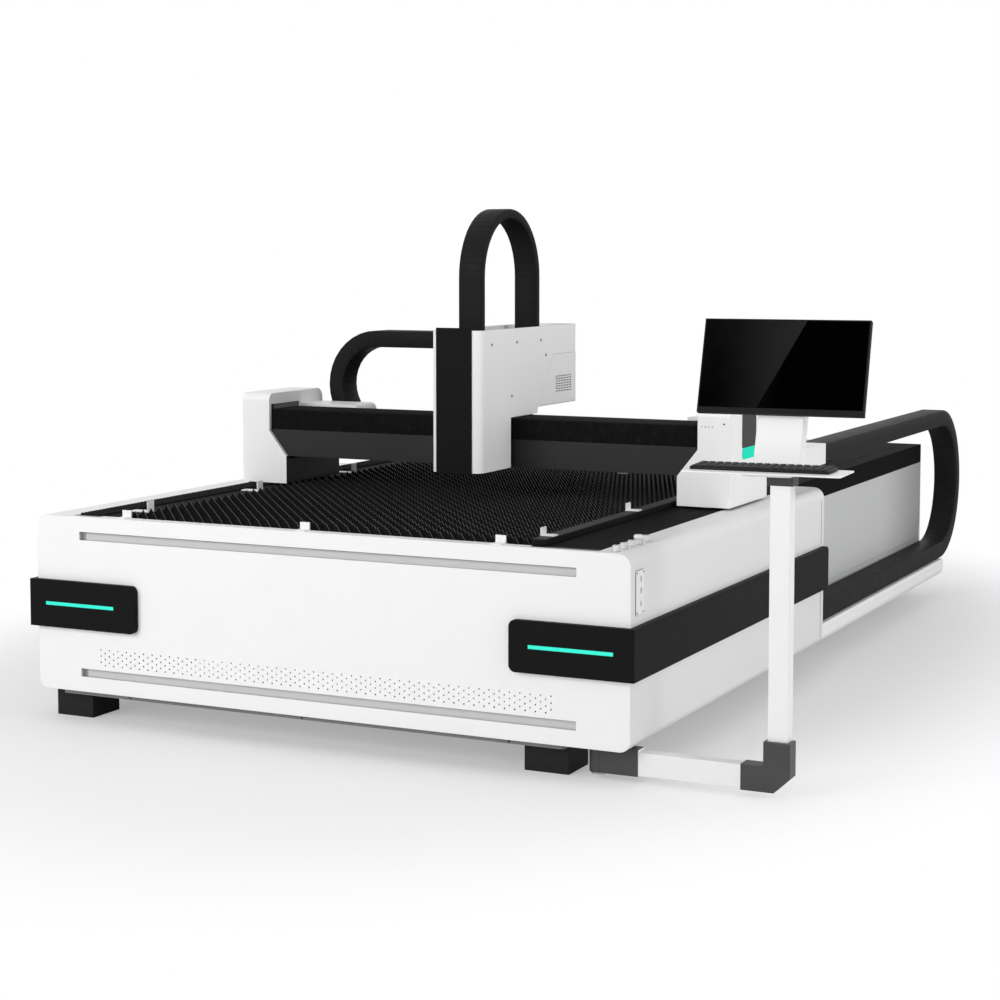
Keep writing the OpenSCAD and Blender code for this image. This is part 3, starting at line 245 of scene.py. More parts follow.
def marked(coat, mask, low, high, level):
    """The same coat with another grey where a mask is 1, between two greys of its clouds."""
    clouds = coat.place.grain(9, 3)
    unmarked = clouds.blend(shade(level * 0.97), shade(min(level, 0.95)))
    return coat.feed(Base_Color=mask.blend(unmarked, clouds.blend(shade(low), shade(high))))


# Front panel: one folded sheet with two long channels welded into its face. They are 18 mm deep, and their
# insides are painted darker as shade, most below their upper lip and at the left end.
# Behind the slats' ends, where the bed's covers reach forward, its top fold is coated black.
panel_coat = powder_coat("panel_coat", 0.86, 0.36)
panel_x, panel_y, panel_z = panel_coat.place.axes()
channel_heights = (0.640, 0.170)
channel_half = 0.0165
channels = sum(abs(panel_z - height) < channel_half for height in channel_heights)
lip_shadow_band = sum(panel_z.within(height + 0.01, height + channel_half) for height in channel_heights)
shaded_left_end = panel_x.within(-0.8235, -0.8070)
# Painted shade: the channels' insides, a band under their upper lip and their left end are darkened in the
# coat's colour.
inside = (panel_y > -1.9325) * (channels * (0.30 + 0.35 * shaded_left_end) + lip_shadow_band * 0.55) * (panel_y < -1.915)
beside_table = (panel_x < -0.7555) + (panel_x > 0.8565)
under_covers = beside_table * (panel_y > -1.913) * (panel_z > 0.7029)
marked(panel_coat, inside + under_covers, 0.006, 0.010, 0.86).on("front_panel")

# Right front cover: a sheet rolled over the bed's edge. Its rear edge is folded in, and two
# dark lines, above and below the guard, mark the fold's weld.
cover_coat = powder_coat("cover_coat", 0.80, 0.36)
_, cover_y, cover_z = cover_coat.place.axes()
fold_line = cover_y.within(-0.0265, -0.0222) * (cover_z.within(0.492, 0.657) + cover_z.within(0.135, 0.318))
marked(cover_coat, fold_line, 0.02, 0.04, 0.80).on("right_front_cover")

# Left end cover: a folded box of sheet steel screwed to the beam's end, white outside, while
# the wall towards the table is coated black against glare.
guarded = powder_coat("left_cover_coat", 0.92, 0.36)
guarded_x, _, guarded_z = guarded.place.axes()
table_side = (guarded_x > -0.6855) * (guarded_z < 0.8195)
marked(guarded, table_side, 0.008, 0.014, 0.93).on("left_end_cover")

# Stops: small bent brackets of white sheet that the raw plate is pushed against by hand.
# They are screwed to the edges round the table.
stop_coat = powder_coat("stop_coat", 0.86, 0.3, 0.2, 0.001).on("edge_stops")

# Rear side skins and the beams under them: light grey hammered enamel between the rail covers and the ledges,
# screwed to the bed's frame, with painted shade that darkens them towards the rear end.
skin = Finish("grey_enamel", Specular_IOR_Level=0.4)
hammer = skin.place.grain(150, 3)
sparkle = skin.place.grain(900, 1).rise(0.6, 0.75)
_, skin_along, _ = skin.place.axes()
# Painted shade: the enamel is darkened towards the rear end, where less light reaches.
rear_painted_shade = skin_along.rise(1.2, 1.93)
skin_tone = (hammer * 0.5 + sparkle * 0.5).blend((0.53, 0.535, 0.54, 1), (0.70, 0.705, 0.71, 1))
skin.feed(Base_Color=(rear_painted_shade * 0.55).blend(skin_tone, (0.12, 0.122, 0.125, 1)),
          Roughness=0.5 - 0.1 * sparkle,
          Normal=hammer.relief(0.0006, 0.5, 0.002))
skin.on("rear_side_panels", "rail_beams")

# Guards: pressed steel shells that wrap the front corners and run back along the covers,
# coated in satin black.
satin_black = powder_coat("satin_black_coat", 0.006, 0.5, 0.4, 0.004, dust=0.05, gloss=0.06)
satin_black.on("guards")

# Light strips: frosted acrylic bars set in slots in the guards, with a row of green-blue
# diodes behind them that shows as brighter spots along the middle.
glow = Finish("lit_acrylic", Emission_Strength=1.0, Roughness=0.25, Base_Color=(0.01, 0.35, 0.28, 1))
_, _, glow_height = glow.place.axes()
strip_height, strip_half = 0.404, 0.0065
core = 1 - abs((glow_height - strip_height) / strip_half)
diodes = glow.place.grain(38, 1, (1, 0.01, 0.01))
glow.feed(Emission_Color=(core * 0.7 + diodes * 0.3).blend((0.004, 0.36, 0.25, 1), (0.014, 0.76, 0.53, 1)))
glow.on("light_strips")

# Rail covers and rear deck: flat black sheets beside the table, rubbed by the plates laid on
# them, so that they are smoother along their middle.
deck_coat = Finish("rail_cover_coat", Specular_IOR_Level=0.012)
deck_grain = deck_coat.place.grain(420, 2)
rubbed = deck_coat.place.grain(5, 4, (1, 0.15, 1))
scratches = deck_coat.place.grain(90, 2, (1, 0.03, 1)).rise(0.68, 0.73)
deck_coat.feed(Base_Color=(rubbed * 0.5 + scratches * 0.5).blend(shade(0.005), shade(0.014)),
               Roughness=0.62 + 0.15 * (rubbed - 0.5) - 0.1 * scratches,
               Normal=(deck_grain - scratches * 0.6).relief(0.0003, 0.5, 0.0015))
deck_coat.on("rear_deck", "right_inner_rail_cover", "right_outer_rail_cover", "left_rail_cover", "left_shoe")

# Rails, racks, bearings, pinions and the ball screw: hardened steel, ground along its length
# or round its axis and wiped with oil. They are screwed down under the covers.
def ground_steel(name, level, stretch, rough=0.28):
    """Ground steel: fine lines along the grinding, with a thin uneven film of oil."""
    steel = Finish(name, Metallic=1.0)
    lines = steel.place.grain(700, 2, stretch)
    oil = steel.place.grain(12, 3)
    tone = (lines * 0.6 + oil * 0.4).blend(shade(level * 0.8, 0.01), shade(level * 1.15, 0.01))
    return steel.feed(Base_Color=tone,
                      Roughness=rough + 0.14 * (oil - 0.5) + 0.08 * (lines - 0.5),
                      Normal=lines.relief(0.0001, 0.4, 0.001))


ground_steel("rail_steel", 0.5, (1, 0.02, 1)).on("y_rails", "pivot_pin", "y_bearing_blocks")
ground_steel("cross_rail_steel", 0.5, (0.02, 1, 1)).on("x_rails")
ground_steel("pinion_steel", 0.42, (1, 1, 0.05), 0.34).on("left_pinion", "right_pinion", "z_screw", "z_slide")


# Bellows over the left rail: coated cloth folded over stiff card, sewn to the front panel,
# the gantry's shoe and the rear panel, so that it shortens on one side as it grows on the other.
ORIGIN = np.array([0.0995, -1.935, 0.0])


def piece(name, parts, crease=30):
    """Object from parts in bed millimetres, each a pair of points (n, 3) and faces. The bed's own
    origin is the middle of its front edge on the floor, ORIGIN away from the anchors' middle."""
    points, faces, start = [], [], 0
    for spots, sides in parts:
        spots = np.asarray(spots, float).reshape(-1, 3)
        points.append(spots)
        faces += [[start + corner for corner in side] for side in sides]
        start += len(spots)
    mesh = bpy.data.meshes.new(name)
    mesh.from_pydata(np.vstack(points) / 1000 + ORIGIN, [], faces)
    form = bmesh.new()
    form.from_mesh(mesh)
    bmesh.ops.remove_doubles(form, verts=form.verts, dist=2e-6)
    bmesh.ops.dissolve_degenerate(form, edges=form.edges, dist=2e-6)
    bmesh.ops.recalc_face_normals(form, faces=form.faces)
    form.to_mesh(mesh)
    form.free()
    mesh.polygons.foreach_set("use_smooth", np.ones(len(mesh.polygons), bool))
    mesh.set_sharp_from_angle(angle=math.radians(crease))
    made = bpy.data.objects.new(name, mesh)
    bpy.context.scene.collection.objects.link(made)
    return made


def loft(rings):
    """Closed skin over rings (stations, points, 3): each ring is joined to the next by quads, and
    the first and last rings are filled, so that point j of ring i is number i * points + j."""
    rings = np.asarray(rings, float)
    stations, count = rings.shape[:2]
    first = np.arange(stations - 1)[:, None] * count + np.arange(count)
    after = np.arange(stations - 1)[:, None] * count + (np.arange(count) + 1) % count
    quads = np.stack([first, after, after + count, first + count], -1).reshape(-1, 4).tolist()
    caps = [list(range(count))[::-1], list(range((stations - 1) * count, stations * count))]
    return rings.reshape(-1, 3), quads + caps


def hood(across, height, wall):
    """Outline of a sheet bent over a rail, open below: up one side, over and down the other at
    radius 4, then back inside it, one wall thick. across and height are pairs (low, high)."""
    turn = np.radians(np.linspace(0, 90, 4))
    outside, inside = [], []
    for shift, side in ((0.0, outside), (wall, inside)):
        left, right, top, low = across[0] + shift, across[1] - shift, height[1] - shift, height[0]
        radius = 4.0 - shift * 0.5
        side += [(left, low)]
        side += [(left + radius * (1 - math.cos(a)), top - radius * (1 - math.sin(a))) for a in turn]
        side += [(right - radius * (1 - math.sin(a)), top - radius * (1 - math.cos(a))) for a in turn]
        side += [(right, low)]
    return np.array(outside + inside[::-1])


def pleats(across, height, along, pitch, depth, wall=1.6):
    """Folded cloth: the hood outline shrinks by depth * |2t - 1| towards its middle, where t runs
    from 0 to 1 over each fold, with the ridge flattened over a tenth of the fold."""
    folds = round((along[1] - along[0]) / pitch)
    t = np.array([0.0, 0.40, 0.60])
    stations = np.append((np.arange(folds)[:, None] + t).ravel(), folds) / folds
    sunk = np.append(np.tile([1.0, 0.0, 0.0], folds), 1.0) * depth
    outline = hood(across, height, wall)
    middle = np.array([(across[0] + across[1]) / 2, height[0]])
    reach = np.array([(across[1] - across[0]) / 2, height[1] - height[0]])
    flat = middle + (outline - middle) * (1 - sunk[:, None, None] / reach)
    place = along[0] + stations * (along[1] - along[0])
    return flat, place


def bellows_y(name, across, height, along, pitch, depth):
    """Bellows whose folds follow each other along y."""
    flat, place = pleats(across, height, along, pitch, depth)
    rings = np.stack([flat[..., 0], np.broadcast_to(place[:, None], flat.shape[:2]), flat[..., 1]], -1)
    return piece(name, [loft(rings)], 20)


def metres(x, y, z):
    """Place in metres of a point in bed millimetres."""
    return tuple(float(v) for v in np.array([x, y, z]) / 1000 + ORIGIN)


cloth = Finish("bellows_cloth", Specular_IOR_Level=0.02, Sheen_Weight=0.01)
cloth_x, cloth_y, cloth_z = cloth.place.axes()
weave = abs(((cloth_x + cloth_z) * 900) % 1.0 - 0.5) + abs((cloth_y * 900) % 1.0 - 0.5)
chalk = cloth.place.grain(40, 4).rise(0.5, 0.8)
cloth.feed(Base_Color=(weave * 0.5 + chalk * 0.5).blend(shade(0.0055), shade(0.019)),
           Roughness=0.62 + 0.1 * chalk, Normal=weave.relief(0.0002, 0.5))

rail_hood = ((-957.0, -858.0), (656.0, 712.0))
rail_fold, rail_depth = 20, 6
front_bellows = bellows_y("rail_bellows_front", *rail_hood, (47.0, 1112.0), rail_fold, rail_depth)
rear_bellows = bellows_y("rail_bellows_rear", *rail_hood, (1508.0, 3877.0), rail_fold, rail_depth)
cloth.on(front_bellows, rear_bellows)
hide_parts("left_bellows")
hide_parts("left_bellows")
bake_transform(front_bellows)
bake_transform(rear_bellows)


# Long energy chain: nylon links pinned end to end, lying on the ledge beside the bed, turning
# over behind it and coming back above to the gantry's white bracket.
def chain(name, bend, radius, depth, across, ends, pitch, plane):
    """Three stretches of a chain: the run at the low side, the half ring, the run at the high side.
    The middle line is at radius - depth / 2 from the bend's centre. Each link's outline is a
    rounded rectangle, waisted by 0.6 mm at the gap to its neighbour. plane turns (along, up,
    across) into bed coordinates."""
    middle = radius - depth / 2
    half = depth / 2
    wide = (across[1] - across[0]) / 2
    corner = min(9.0, half / 3)
    turn = np.radians([0, 45, 90])
    quarter = np.stack([np.cos(turn), np.sin(turn)], -1) * corner
    outline = []
    for side_w, side_h, order in ((1, 1, 1), (-1, 1, -1), (-1, -1, 1), (1, -1, -1)):
        arc = quarter[::order] * [side_w, side_h]
        outline.append(arc + np.array([side_w * (wide - corner), side_h * (half - corner)]))
    outline = np.vstack(outline)

    def stretch(length, line, heading):
        """Links along a stretch: line(s) is its middle line and heading(s) its outer side, at s mm."""
        links = max(2, round(length / pitch))
        step = np.array([0.0, 0.02, 0.98])
        waist = np.append(np.tile([1.0, 0.0, 0.0], links), 1.0)
        s = np.append((np.arange(links)[:, None] + step).ravel(), links) / links * length
        spot, out = line(s), heading(s)
        ring = outline * (1 - waist[:, None, None] * 0.6 / np.array([wide, half]))
        along = spot[:, None, 0] + out[:, None, 0] * ring[..., 1]
        up = spot[:, None, 1] + out[:, None, 1] * ring[..., 1]
        side = (across[0] + across[1]) / 2 + ring[..., 0]
        return loft(plane(along, up, side))

    def low_line(s):
        """Middle line of the low run, from its end towards the bend."""
        return np.stack([ends[0] + s, np.full_like(s, bend[1] - middle)], -1)

    def high_line(s):
        """Middle line of the high run, from its end towards the bend."""
        return np.stack([ends[1] + s, np.full_like(s, bend[1] + middle)], -1)

    def outward(s):
        """Direction from the bend's centre, which turns from down to up as angle = s / middle."""
        angle = s / middle - math.pi / 2
        return np.stack([np.cos(angle), np.sin(angle)], -1)

    def ring_line(s):
        """Middle line of the bend: its centre plus middle times the outward direction."""
        return np.array(bend) + middle * outward(s)

    def down(s):
        """Outer side of the low run."""
        return np.tile([0.0, -1.0], (len(s), 1))

    def above(s):
        """Outer side of the high run."""
        return np.tile([0.0, 1.0], (len(s), 1))

    return [piece(name + part, [stretch(length, line, heading)]) for part, length, line, heading in (
        ("_low_run", bend[0] - ends[0], low_line, down),
        ("_bend", math.pi * middle, ring_line, outward),
        ("_high_run", bend[0] - ends[1], high_line, above))]


nylon = Finish("chain_nylon", Specular_IOR_Level=0.03)
nylon_grain = nylon.place.grain(300, 2)
nylon_wear = nylon.place.grain(9, 4)
nylon.feed(Base_Color=(nylon_wear * 0.7 + nylon_grain * 0.3).blend(shade(0.010), shade(0.021)),
           Roughness=0.46 + 0.16 * (nylon_wear - 0.5), Normal=nylon_grain.relief(0.0002, 0.4))


def beside_bed(along, up, side):
    """A chain's plane beside the bed: it runs along y and turns over x."""
    return np.stack([side, along, up], -1)


far = 40000
bend_y, bend_z = 3848.0, 526.0
low_y, high_y = 1948.0, 2000.0
low, ring, high = chain("long_chain", (bend_y, bend_z), 345.0, 74.0, (978.0, 1086.0), (low_y, high_y),
                        42, beside_bed)
nylon.on(low, ring, high)
for part in (low, ring, high):
    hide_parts("y_chain")
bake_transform(low)
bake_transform(ring)
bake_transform(high)


# Table slats as they are cut: 66 strips of 3 mm steel, 46 mm apart, each with 40 teeth 30 mm
# high. They stand loose in the notched bars, so that a burnt one can be changed.
def block(low, high, ease=1.0, taper=0.0, corner=None, up=2):
    """Rounded block between two corners: four rings along the axis up, each a rectangle with
    corners of a radius, drawn in by ease at both ends and by taper too at the far end."""
    low, high = np.array(low, float), np.array(high, float)
    flat = [axis for axis in range(3) if axis != up]
    middle, half = (low + high) / 2, (high - low) / 2
    radius = corner or ease
    turn = np.radians([0, 30, 60, 90])
    quarter = np.stack([np.cos(turn), np.sin(turn)], -1) * radius
    rings = []
    for height, drawn in ((low[up], ease), (low[up] + ease, 0),
                          (high[up] - ease, taper), (high[up], taper + ease)):
        reach = half[flat] - drawn - radius
        outline = np.vstack([quarter[::order] * side + reach * side
                             for side, order in (((1, 1), 1), ((-1, 1), -1), ((-1, -1), 1), ((1, -1), -1))])
        ring = np.empty((len(outline), 3))
        ring[:, flat] = middle[flat] + outline
        ring[:, up] = height
        rings.append(ring)
    return loft(rings)


slat_left, slat_right, slat_wall = -758, 742, 3
slat_foot, tooth_root, tooth_tip = 630, 697, 727
teeth, slat_count, slat_pitch, first_slat = 40, 66, 46.15, 66
corners = np.arange(2 * teeth + 1)
along_slat = slat_left + (slat_right - slat_left) * corners / (2 * teeth)
tooth_edge = np.stack([along_slat, np.where(corners % 2, tooth_tip, tooth_root)], -1)
strip = np.vstack([[slat_left, slat_foot], tooth_edge, [slat_right, slat_foot]])
cut_strips = []
for front in first_slat + slat_pitch * np.arange(slat_count):
    cut_strips.append(loft([np.insert(strip, 1, depth, 1) for depth in (front, front + slat_wall)]))
table_slats = piece("table_slats", cut_strips)
heat.on(table_slats)
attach(table_slats, "bed")
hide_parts("slats")

# Border on the table's right side: a black square tube on the rail cover, with rubbed patches and a painted
# highlight that lightens its top face. The feet of the two right stops are screwed down on it.
border_coat = Finish("border_coat", Specular_IOR_Level=0.05)
border_grain = border_coat.place.grain(380, 2)
border_rub = border_coat.place.grain(6, 4, (1, 0.2, 1))
_, _, border_up = border_coat.place.node("ShaderNodeNewGeometry", output=1).axes()
# Rubbed patches, and a painted highlight on the faces that look up.
border_rub_and_highlight = (border_up.rise(0.5, 0.9) * 0.7 + border_rub * 0.3).blend(shade(0.003), shade(0.032))
border_coat.feed(Base_Color=border_rub_and_highlight,
                 Roughness=0.5 + 0.2 * (border_rub - 0.5), Normal=border_grain.relief(0.0003, 0.5))
border_top = 727
border = piece("table_border", [block((751, 47, 706), (799, 3080, border_top), 2, corner=2)])
border_coat.on(border)
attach(border, "bed")
stop_half, foot_wall = 17.5, 4
stop_feet = piece("right_stop_feet", [
    block((757, y - stop_half, border_top), (798, y + stop_half, border_top + foot_wall), 0.6, corner=2)
    for y in (129, 818)])
stop_coat.on(stop_feet)
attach(stop_feet, "bed")

# Slot covers: a steel band coated black closes the slot in the right rail cover on either side
# of the gantry's plate, rolling up at its ends as the gantry comes near.
band_left, band_right, band_low, band_top = 894.6, 925.4, 702.6, 705.2
section = np.array([(band_left, band_low), (band_right, band_low),
                    (band_right, band_top), (band_left, band_top)])
for name, first, last, bodies in (("front_slot_band", 300, 1149, ("bed", "gantry")),
                                  ("rear_slot_band", 1471, 3640, ("gantry", "bed"))):
    stations = np.linspace(first, last, 40)
    band = piece(name, [loft([np.insert(section, 1, y, 1) for y in stations])])
    deck_coat.on(band)
    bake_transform(band)


# Sockets on the right side: a dark rim under the plate that stands in for the shade round its edge, four
# button screws and three black connectors pressed into the raised mouths.
def button_screw(at, radius, axis=0, side=1):
    """Low domed head on a face: rings of twelve points whose radius falls as cos, height as sin,
    with a shallow round dimple in the middle."""
    around = np.radians(np.arange(0, 360, 30))
    flat = [other for other in range(3) if other != axis]
    rings = []
    for wide, tall in ((1.0, 0.0), (0.96, 0.25), (0.75, 0.42), (0.42, 0.48), (0.38, 0.28)):
        ring = np.tile(np.array(at, float), (12, 1))
        ring[:, flat] += radius * wide * np.stack([np.cos(around), np.sin(around)], -1)
        ring[:, axis] += side * radius * tall
        rings.append(ring)
    return loft(rings)


rubber = Finish("socket_rubber", Specular_IOR_Level=0.12)
rubber_grain = rubber.place.grain(700, 2)
rubber.feed(Base_Color=rubber_grain.blend(shade(0.004), shade(0.012)), Roughness=0.55 + 0.1 * rubber_grain,
            Normal=rubber_grain.relief(0.0001, 0.4))
mouth = 1101.2
# A dark rim round the plate's edge, painted shadow standing in for the shade there.
shadow_rim = piece("socket_shadow_rim", [block((1099.9, 36.5, 513.5), (mouth, 101.5, 651.5), 0.3, corner=7, up=0)])
connectors = piece("socket_connectors", [
    block((mouth, 70.4, z - 8.6), (mouth + 2.4, 75.6, z + 8.6), 0.5, corner=2, up=0)
    for z in (548, 588, 624)])
rubber.on(shadow_rim, connectors)
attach(shadow_rim, "bed")
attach(connectors, "bed")

plated = Finish("zinc_screw", Metallic=0.9)
plated_grain = plated.place.grain(600, 2)
plated.feed(Base_Color=plated_grain.blend(shade(0.16), shade(0.3)), Roughness=0.3 + 0.15 * plated_grain,
            Normal=plated_grain.relief(0.0001, 0.3))
plate_screws = piece("socket_screws", [button_screw((1103, y, z), 3.2) for y in (45, 93) for z in (522, 643)])
plated.on(plate_screws)
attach(plate_screws, "bed")

# Controls on the right cover: four clear-capped push buttons and the wider emergency stop, each
# in a turned bezel, white as the photograph shows them.
cap = Finish("button_cap", Coat_Weight=0.6, Coat_Roughness=0.08)
cap_cloud = cap.place.grain(90, 2)
_, _, cap_height = cap.place.axes()
# The caps are shaded darker at their base and painted lighter towards their tops as a highlight, over faint
# clouds.
cap_tone_and_highlight = (cap_cloud * 0.5 + cap_height.rise(0.706, 0.74) * 0.5).blend(shade(0.62), shade(0.86))
cap.feed(Base_Color=cap_tone_and_highlight, Roughness=0.28 + 0.1 * cap_cloud, Normal=cap_cloud.relief(0.0001, 0.3, 0.0015))
cap.on("button_1", "button_2", "button_3", "button_4", "emergency_stop")
bezel = Finish("turned_bezel", Metallic=0.9)
rings_cut = bezel.place.grain(1500, 1, (1, 1, 0.1))
bezel.feed(Base_Color=rings_cut.blend(shade(0.42), shade(0.66)), Roughness=0.24 + 0.1 * rings_cut,
           Normal=rings_cut.relief(0.0001, 0.4, 0.0008))
bezel.on("button_bezels")

# Gantry: a welded box beam on side plates. A black coated channel covers its lower half, and
# pleated cloth its upper half, so that the head's carriage can pass.
brushed_paint("beam_primer", 0.13, 0.5).on("gantry_side_plates", "gantry_beam", "saddle", "head_drive")
texture_paint("motor_paint", 0.014, 0.4, 600).on("y_motors")
channel = Finish("beam_channel_coat", Specular_IOR_Level=0.16)
channel_grain = channel.place.grain(440, 2)
channel_cloud = channel.place.grain(3.2, 3)
_, _, channel_height = channel.place.axes()
tab = channel_height < 0.8189
channel_tone = channel_cloud.blend(shade(0.019), shade(0.027))
channel.feed(Base_Color=tab.blend(channel_tone, shade(0.7)), Roughness=0.42 + 0.1 * (channel_cloud - 0.5),
             Normal=channel_grain.relief(0.00025, 0.4, 0.002))
channel.on("beam_cover", "x_chain_tray")


def bellows_x(name, across, height, along, pitch, depth):
    """Bellows whose folds follow each other along x."""
    flat, place = pleats(across, height, along, pitch, depth)
    rings = np.stack([np.broadcast_to(place[:, None], flat.shape[:2]), flat[..., 0], flat[..., 1]], -1)
    return piece(name, [loft(rings)], 20)


beam_hood = ((1126.0, 1330.0), (921.0, 998.0))
beam_fold, beam_depth = 9, 2.5
left_folds = bellows_x("beam_bellows_left", *beam_hood, (-864.0, 0.0), beam_fold, beam_depth)
right_folds = bellows_x("beam_bellows_right", *beam_hood, (160.0, 898.0), beam_fold, beam_depth)
cloth.on(left_folds, right_folds)
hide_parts("x_bellows")
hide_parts("x_bellows")
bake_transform(left_folds)
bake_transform(right_folds)

# Right end cover: a dark vent plate let into its outer side, a green-blue plate below it with
# rounded lower corners, and black screws that hold its front to the beam.
inlay = Finish("inlay_plate", Specular_IOR_Level=0.1)
inlay_grain = inlay.place.grain(500, 2)
_, _, inlay_height = inlay.place.axes()
inlay_tone = inlay_grain.blend(shade(0.05), shade(0.062))
green_blue = (0.004, 0.82, 0.56, 1)
inlay.feed(Base_Color=(inlay_height < 0.9138).blend(inlay_tone, green_blue),
           Roughness=0.5 + 0.1 * inlay_grain, Normal=inlay_grain.relief(0.0001, 0.4))
inlay_in, inlay_out, inlay_front, inlay_back = 1014.4, 1016.4, 1235, 1383
vent_plate = piece("side_vent_plate", [
    block((inlay_in, inlay_front, 914), (inlay_out, inlay_back, 1052), 0.5, corner=3, up=0),
    block((inlay_in, inlay_front, 873), (inlay_out, inlay_back, 913.6), 0.5, corner=16, up=0)])
inlay.on(vent_plate)
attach(vent_plate, "gantry")
screw_spots = [((x, 1110, 996), 1.9) for x in range(910, 950, 13)] + [((992, 1110, 1007), 3.2)]
cover_screws = piece("end_cover_screws", [button_screw(spot, radius, 1, -1) for spot, radius in screw_spots])
rubber.on(cover_screws)
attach(cover_screws, "gantry")

# Cross chain: the same nylon links in a tray behind the beam. It lies in the tray at its low
# side, turns over at the left end and comes back above to the head's vertical drive.
def behind_beam(along, up, side):
    """A chain's plane behind the beam: it runs to the left, against x."""
    return np.stack([-along, side, up], -1)


bend_x, bend_z = 623.0, 1074.0
low_x, high_x = -17.0, 15.0
low, ring, high = chain("cross_chain", (bend_x, bend_z), 217.0, 66.0, (1525.0, 1643.0), (low_x, high_x),
                        32, behind_beam)
nylon.on(low, ring, high)
for part in (low, ring, high):
    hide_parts("x_chain")
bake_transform(low)
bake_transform(ring)
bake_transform(high)

# Head housing: a tall folded cover round the vertical drive, coated in satin white, with a
# black front cover and a screwed access panel with a grille.
powder_coat("head_coat", 0.91, 0.36).on("head_housing", "access_panel")
satin_black.on("head_front_cover")

head_side = 175
head_screws = piece("head_screws", [button_screw((head_side, y, z), 5.5) for y, z in (
    (948, 1273), (1156, 1275), (1364, 1275), (1408, 1217), (1112, 1081))])
plated.on(head_screws)
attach(head_screws, "carriage")

# Head chain: thin nylon links that stand up out of the housing and turn over above it. The
# rear run is fixed to the housing, and the front one goes down with the cutting head.
def upright(along, up, side):
    """A chain's plane above the head: it runs up along z and turns over towards the front."""
    return np.stack([side, -up, along], -1)


bend_z, bend_y = 1510.0, 1210.5
rear_z, front_z = 1299.0, 1160.0
low, ring, high = chain("head_chain", (bend_z, -bend_y), 250.0, 35.0, (35.0, 127.0), (rear_z, front_z),
                        24, upright)
nylon.on(low, ring, high)
for part in (low, ring, high):
    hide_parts("z_chain")
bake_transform(low)
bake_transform(ring)
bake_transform(high)

# Cutting head: an anodised body, clamped to the slide, with a turned brass nozzle screwed into
# its lower end.
body_metal = Finish("head_metal", Metallic=1.0)
turning = body_metal.place.grain(900, 1, (0.1, 0.1, 1))
_, _, head_height = body_metal.place.axes()
brass = head_height < 0.87
anodised = turning.blend(shade(0.32), shade(0.46))
body_metal.feed(Base_Color=brass.blend(anodised, (0.72, 0.42, 0.2, 1)), Roughness=0.3 + 0.12 * turning,
                Normal=turning.relief(0.0001, 0.4, 0.001))
body_metal.on("cutting_head")

# Console: a square tube arm on the pivot pin, a white column in mitred dark elbows, and a
# folded tray with a stand for the monitor.
arm_coat = powder_coat("arm_coat", 0.86, 0.36)
arm_x, _, _ = arm_coat.place.axes()
castings = (arm_x < 1.2025) + (arm_x > 1.529)
marked(arm_coat, castings, 0.035, 0.055, 0.84).on("swing_arm")
column_coat = powder_coat("column_coat", 0.88, 0.34)
_, _, column_height = column_coat.place.axes()
marked(column_coat, column_height > 0.9262, 0.02, 0.032, 0.87).on("console_column")
powder_coat("tray_coat", 0.94, 0.34).on("console_head")


# Keyboard: moulded black keys with tapered sides in five rows, the space bar in the front one,
# on a case whose ends slope.
TURN = math.radians(3.5)
COLUMN = np.array([1539.5, 88.5, 0.0])


def from_head(points):
    """Points turned round z and moved, from the console head's coordinates to the bed's."""
    turned = np.array([[math.cos(TURN), math.sin(TURN), 0], [-math.sin(TURN), math.cos(TURN), 0], [0, 0, 1]])
    return np.asarray(points) @ turned + COLUMN


keys = Finish("key_plastic", Specular_IOR_Level=0.12)
key_grain = keys.place.grain(900, 1)
_, _, key_height = keys.place.axes()
_, _, key_up = keys.place.node("ShaderNodeNewGeometry", output=1).axes()
# The key tops, where they face up and stand highest, are painted lighter as a highlight, over a fine grain.
key_grain_and_highlight = key_grain * 0.3 + key_height.rise(0.977, 0.981) * 0.3 + key_up.rise(0.7, 1.0) * 0.4
keys.feed(Base_Color=key_grain_and_highlight.blend(shade(0.008), shade(0.04)),
          Roughness=0.5 + 0.1 * key_grain, Normal=key_grain.relief(0.0001, 0.4))
key_columns, key_rows, key_pitch, row_pitch, key_gap = 17, 5, 24, 22, 3
space_bar, space_width = (0, 4), 6
moulded = [block((-275, -36, 966), (145, 82, 976.5), 2.5, 1.5, 6)]
for row in range(key_rows):
    column = 0
    while column < key_columns:
        width = space_width if (row, column) == space_bar else 1
        left, front = -268 + column * key_pitch, -30 + row * row_pitch
        right, back = left + key_pitch * width - key_gap, front + row_pitch - key_gap
        moulded.append(block((left, front, 973), (right, back, 979 + row * 0.5), 0.8, 1.4, 2.5))
        column += width
keyboard_body = piece("console_keyboard", [(from_head(spots), sides) for spots, sides in moulded])
keys.on(keyboard_body)
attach(keyboard_body, "console_head")
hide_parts("keyboard")

# Monitor: a black plastic shell with a wide lower bezel, and black glass with a soft diagonal reflection of
# the bright room painted into its colour.
case = Finish("monitor_plastic", Specular_IOR_Level=0.04)
case_grain = case.place.grain(800, 1)
case.feed(Base_Color=case_grain.blend(shade(0.009), shade(0.02)), Roughness=0.42 + 0.12 * case_grain,
          Normal=case_grain.relief(0.0001, 0.4, 0.0015))
case.on("monitor")
LEAN = math.radians(18)
screen_right = np.array([math.cos(TURN), math.sin(TURN), 0])
screen_up = np.array([-math.sin(TURN) * math.sin(LEAN), math.cos(TURN) * math.sin(LEAN), math.cos(LEAN)])
screen_back = np.cross(screen_up, screen_right)
screen_middle = from_head([-44.0, 157.0, 1263.0])
pane, pane_faces = block((-248, -0.6, -128.5), (248, 1.6, 141.5), 0.5, corner=2, up=1)
pane = screen_middle + pane @ np.array([screen_right, screen_back, screen_up])
glass = Finish("screen_glass", Specular_IOR_Level=0.0)
glass_axes = glass.place.axes()
centre = metres(*screen_middle)
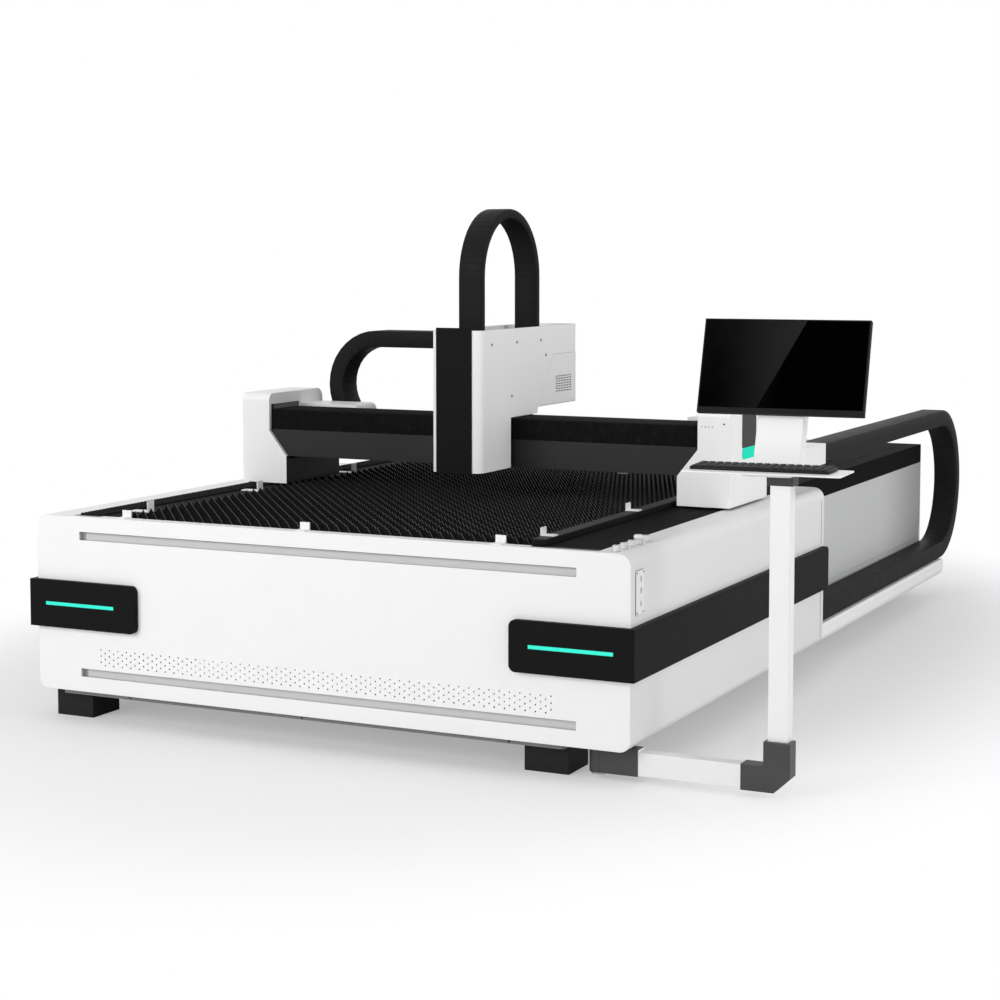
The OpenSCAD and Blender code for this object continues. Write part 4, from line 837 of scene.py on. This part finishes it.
over = sum((axis - c) * float(d) for axis, c, d in zip(glass_axes, centre, screen_right))
height = sum((axis - c) * float(d) for axis, c, d in zip(glass_axes, centre, screen_up))
# Painted reflection: left of a diagonal, the glass's colour is lightened where the bright room would mirror
# in it.
left_of_diagonal = over - height * 0.485 < -0.007
painted_reflection = left_of_diagonal * (over.rise(-0.22, 0.09) * 0.8 + height.rise(-0.13, 0.14) * 0.1)
smudge = glass.place.grain(20, 3)
glass.feed(Base_Color=painted_reflection.blend(shade(0.0004), shade(0.022)), Roughness=0.12 + 0.08 * smudge,
           Coat_Weight=0.01 * smudge)
screen = piece("screen_glass", [(pane, pane_faces)])
glass.on(screen)
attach(screen, "monitor")

# Studio: a white floor that fades into the white backdrop, a large soft lamp in front on the
# left, a softer one above, and an even sky.
floor = piece("floor", [([(-far, -far, 0), (far, -far, 0), (far, far, 0), (-far, far, 0)], [[0, 1, 2, 3]])])
ground = Finish("studio_floor", Roughness=0.6, Specular_IOR_Level=0.1)
floor_x, floor_y, _ = ground.place.axes()
around = floor_x * floor_x * 1.2 + floor_y * floor_y * 0.5
away = around.rise(2.2, 7.5) * 0.7 + 0.3
seen = ground.place.node("ShaderNodeLightPath")
white = ground.place.node("ShaderNodeEmission", {}, {"Color": (1, 1, 1, 1), "Strength": 1.0})
ground.feed(Base_Color=ground.place.grain(1.2, 2).blend(shade(0.86), shade(0.88)))
surface = Wire(ground.material.node_tree, ground.shader.outputs[0])
fade = ground.place.node("ShaderNodeMixShader", {}, {0: away * seen, 1: surface, 2: white})
ground.material.node_tree.links.new(fade.socket, ground.material.node_tree.nodes["Material Output"].inputs[0])
ground.on(floor)


def soft_lamp(name, place, aim, size, power):
    """Square lamp of a size in metres that looks from its place to its aim."""
    lamp = bpy.data.objects.new(name, bpy.data.lights.new(name, "AREA"))
    lamp.data.size = size
    lamp.data.energy = power
    lamp.location = place
    lamp.rotation_euler = (Vector(aim) - Vector(place)).to_track_quat("-Z", "Y").to_euler()
    bpy.context.scene.collection.objects.link(lamp)


soft_lamp("front_lamp", (-3.0, -9.5, 4.2), (0.2, -1.0, 0.5), 5.0, 455)
soft_lamp("top_lamp", (-0.5, 0.5, 8.0), (0.0, 0.0, 0.5), 7.0, 110)
soft_lamp("side_lamp", (9.0, -2.0, 3.5), (0.5, 0.5, 0.6), 5.0, 300)

sky = bpy.data.worlds.new("sky")
bpy.context.scene.world = sky
sky.use_nodes = True
tree = sky.node_tree
backdrop = tree.nodes["Background"]
rays = tree.nodes.new("ShaderNodeLightPath")
camera_ray = Wire(tree, rays.outputs["Is Camera Ray"])
mirror_ray = Wire(tree, rays.outputs["Is Glossy Ray"])
through_ray = Wire(tree, rays.outputs["Is Transmission Ray"])
seen_sky = camera_ray.math("MAXIMUM", camera_ray.math("MAXIMUM", camera_ray, through_ray), mirror_ray)
heading = Wire(tree, tree.nodes.new("ShaderNodeTexCoord").outputs["Generated"])
_, _, steep = heading.axes()
dim = 0.62 - 0.36 * steep.rise(0.0, 0.9)
level = seen_sky + dim * (1 - seen_sky)
tree.links.new(level.socket, backdrop.inputs["Strength"])
backdrop.inputs["Color"].default_value = (1, 1, 1, 1)
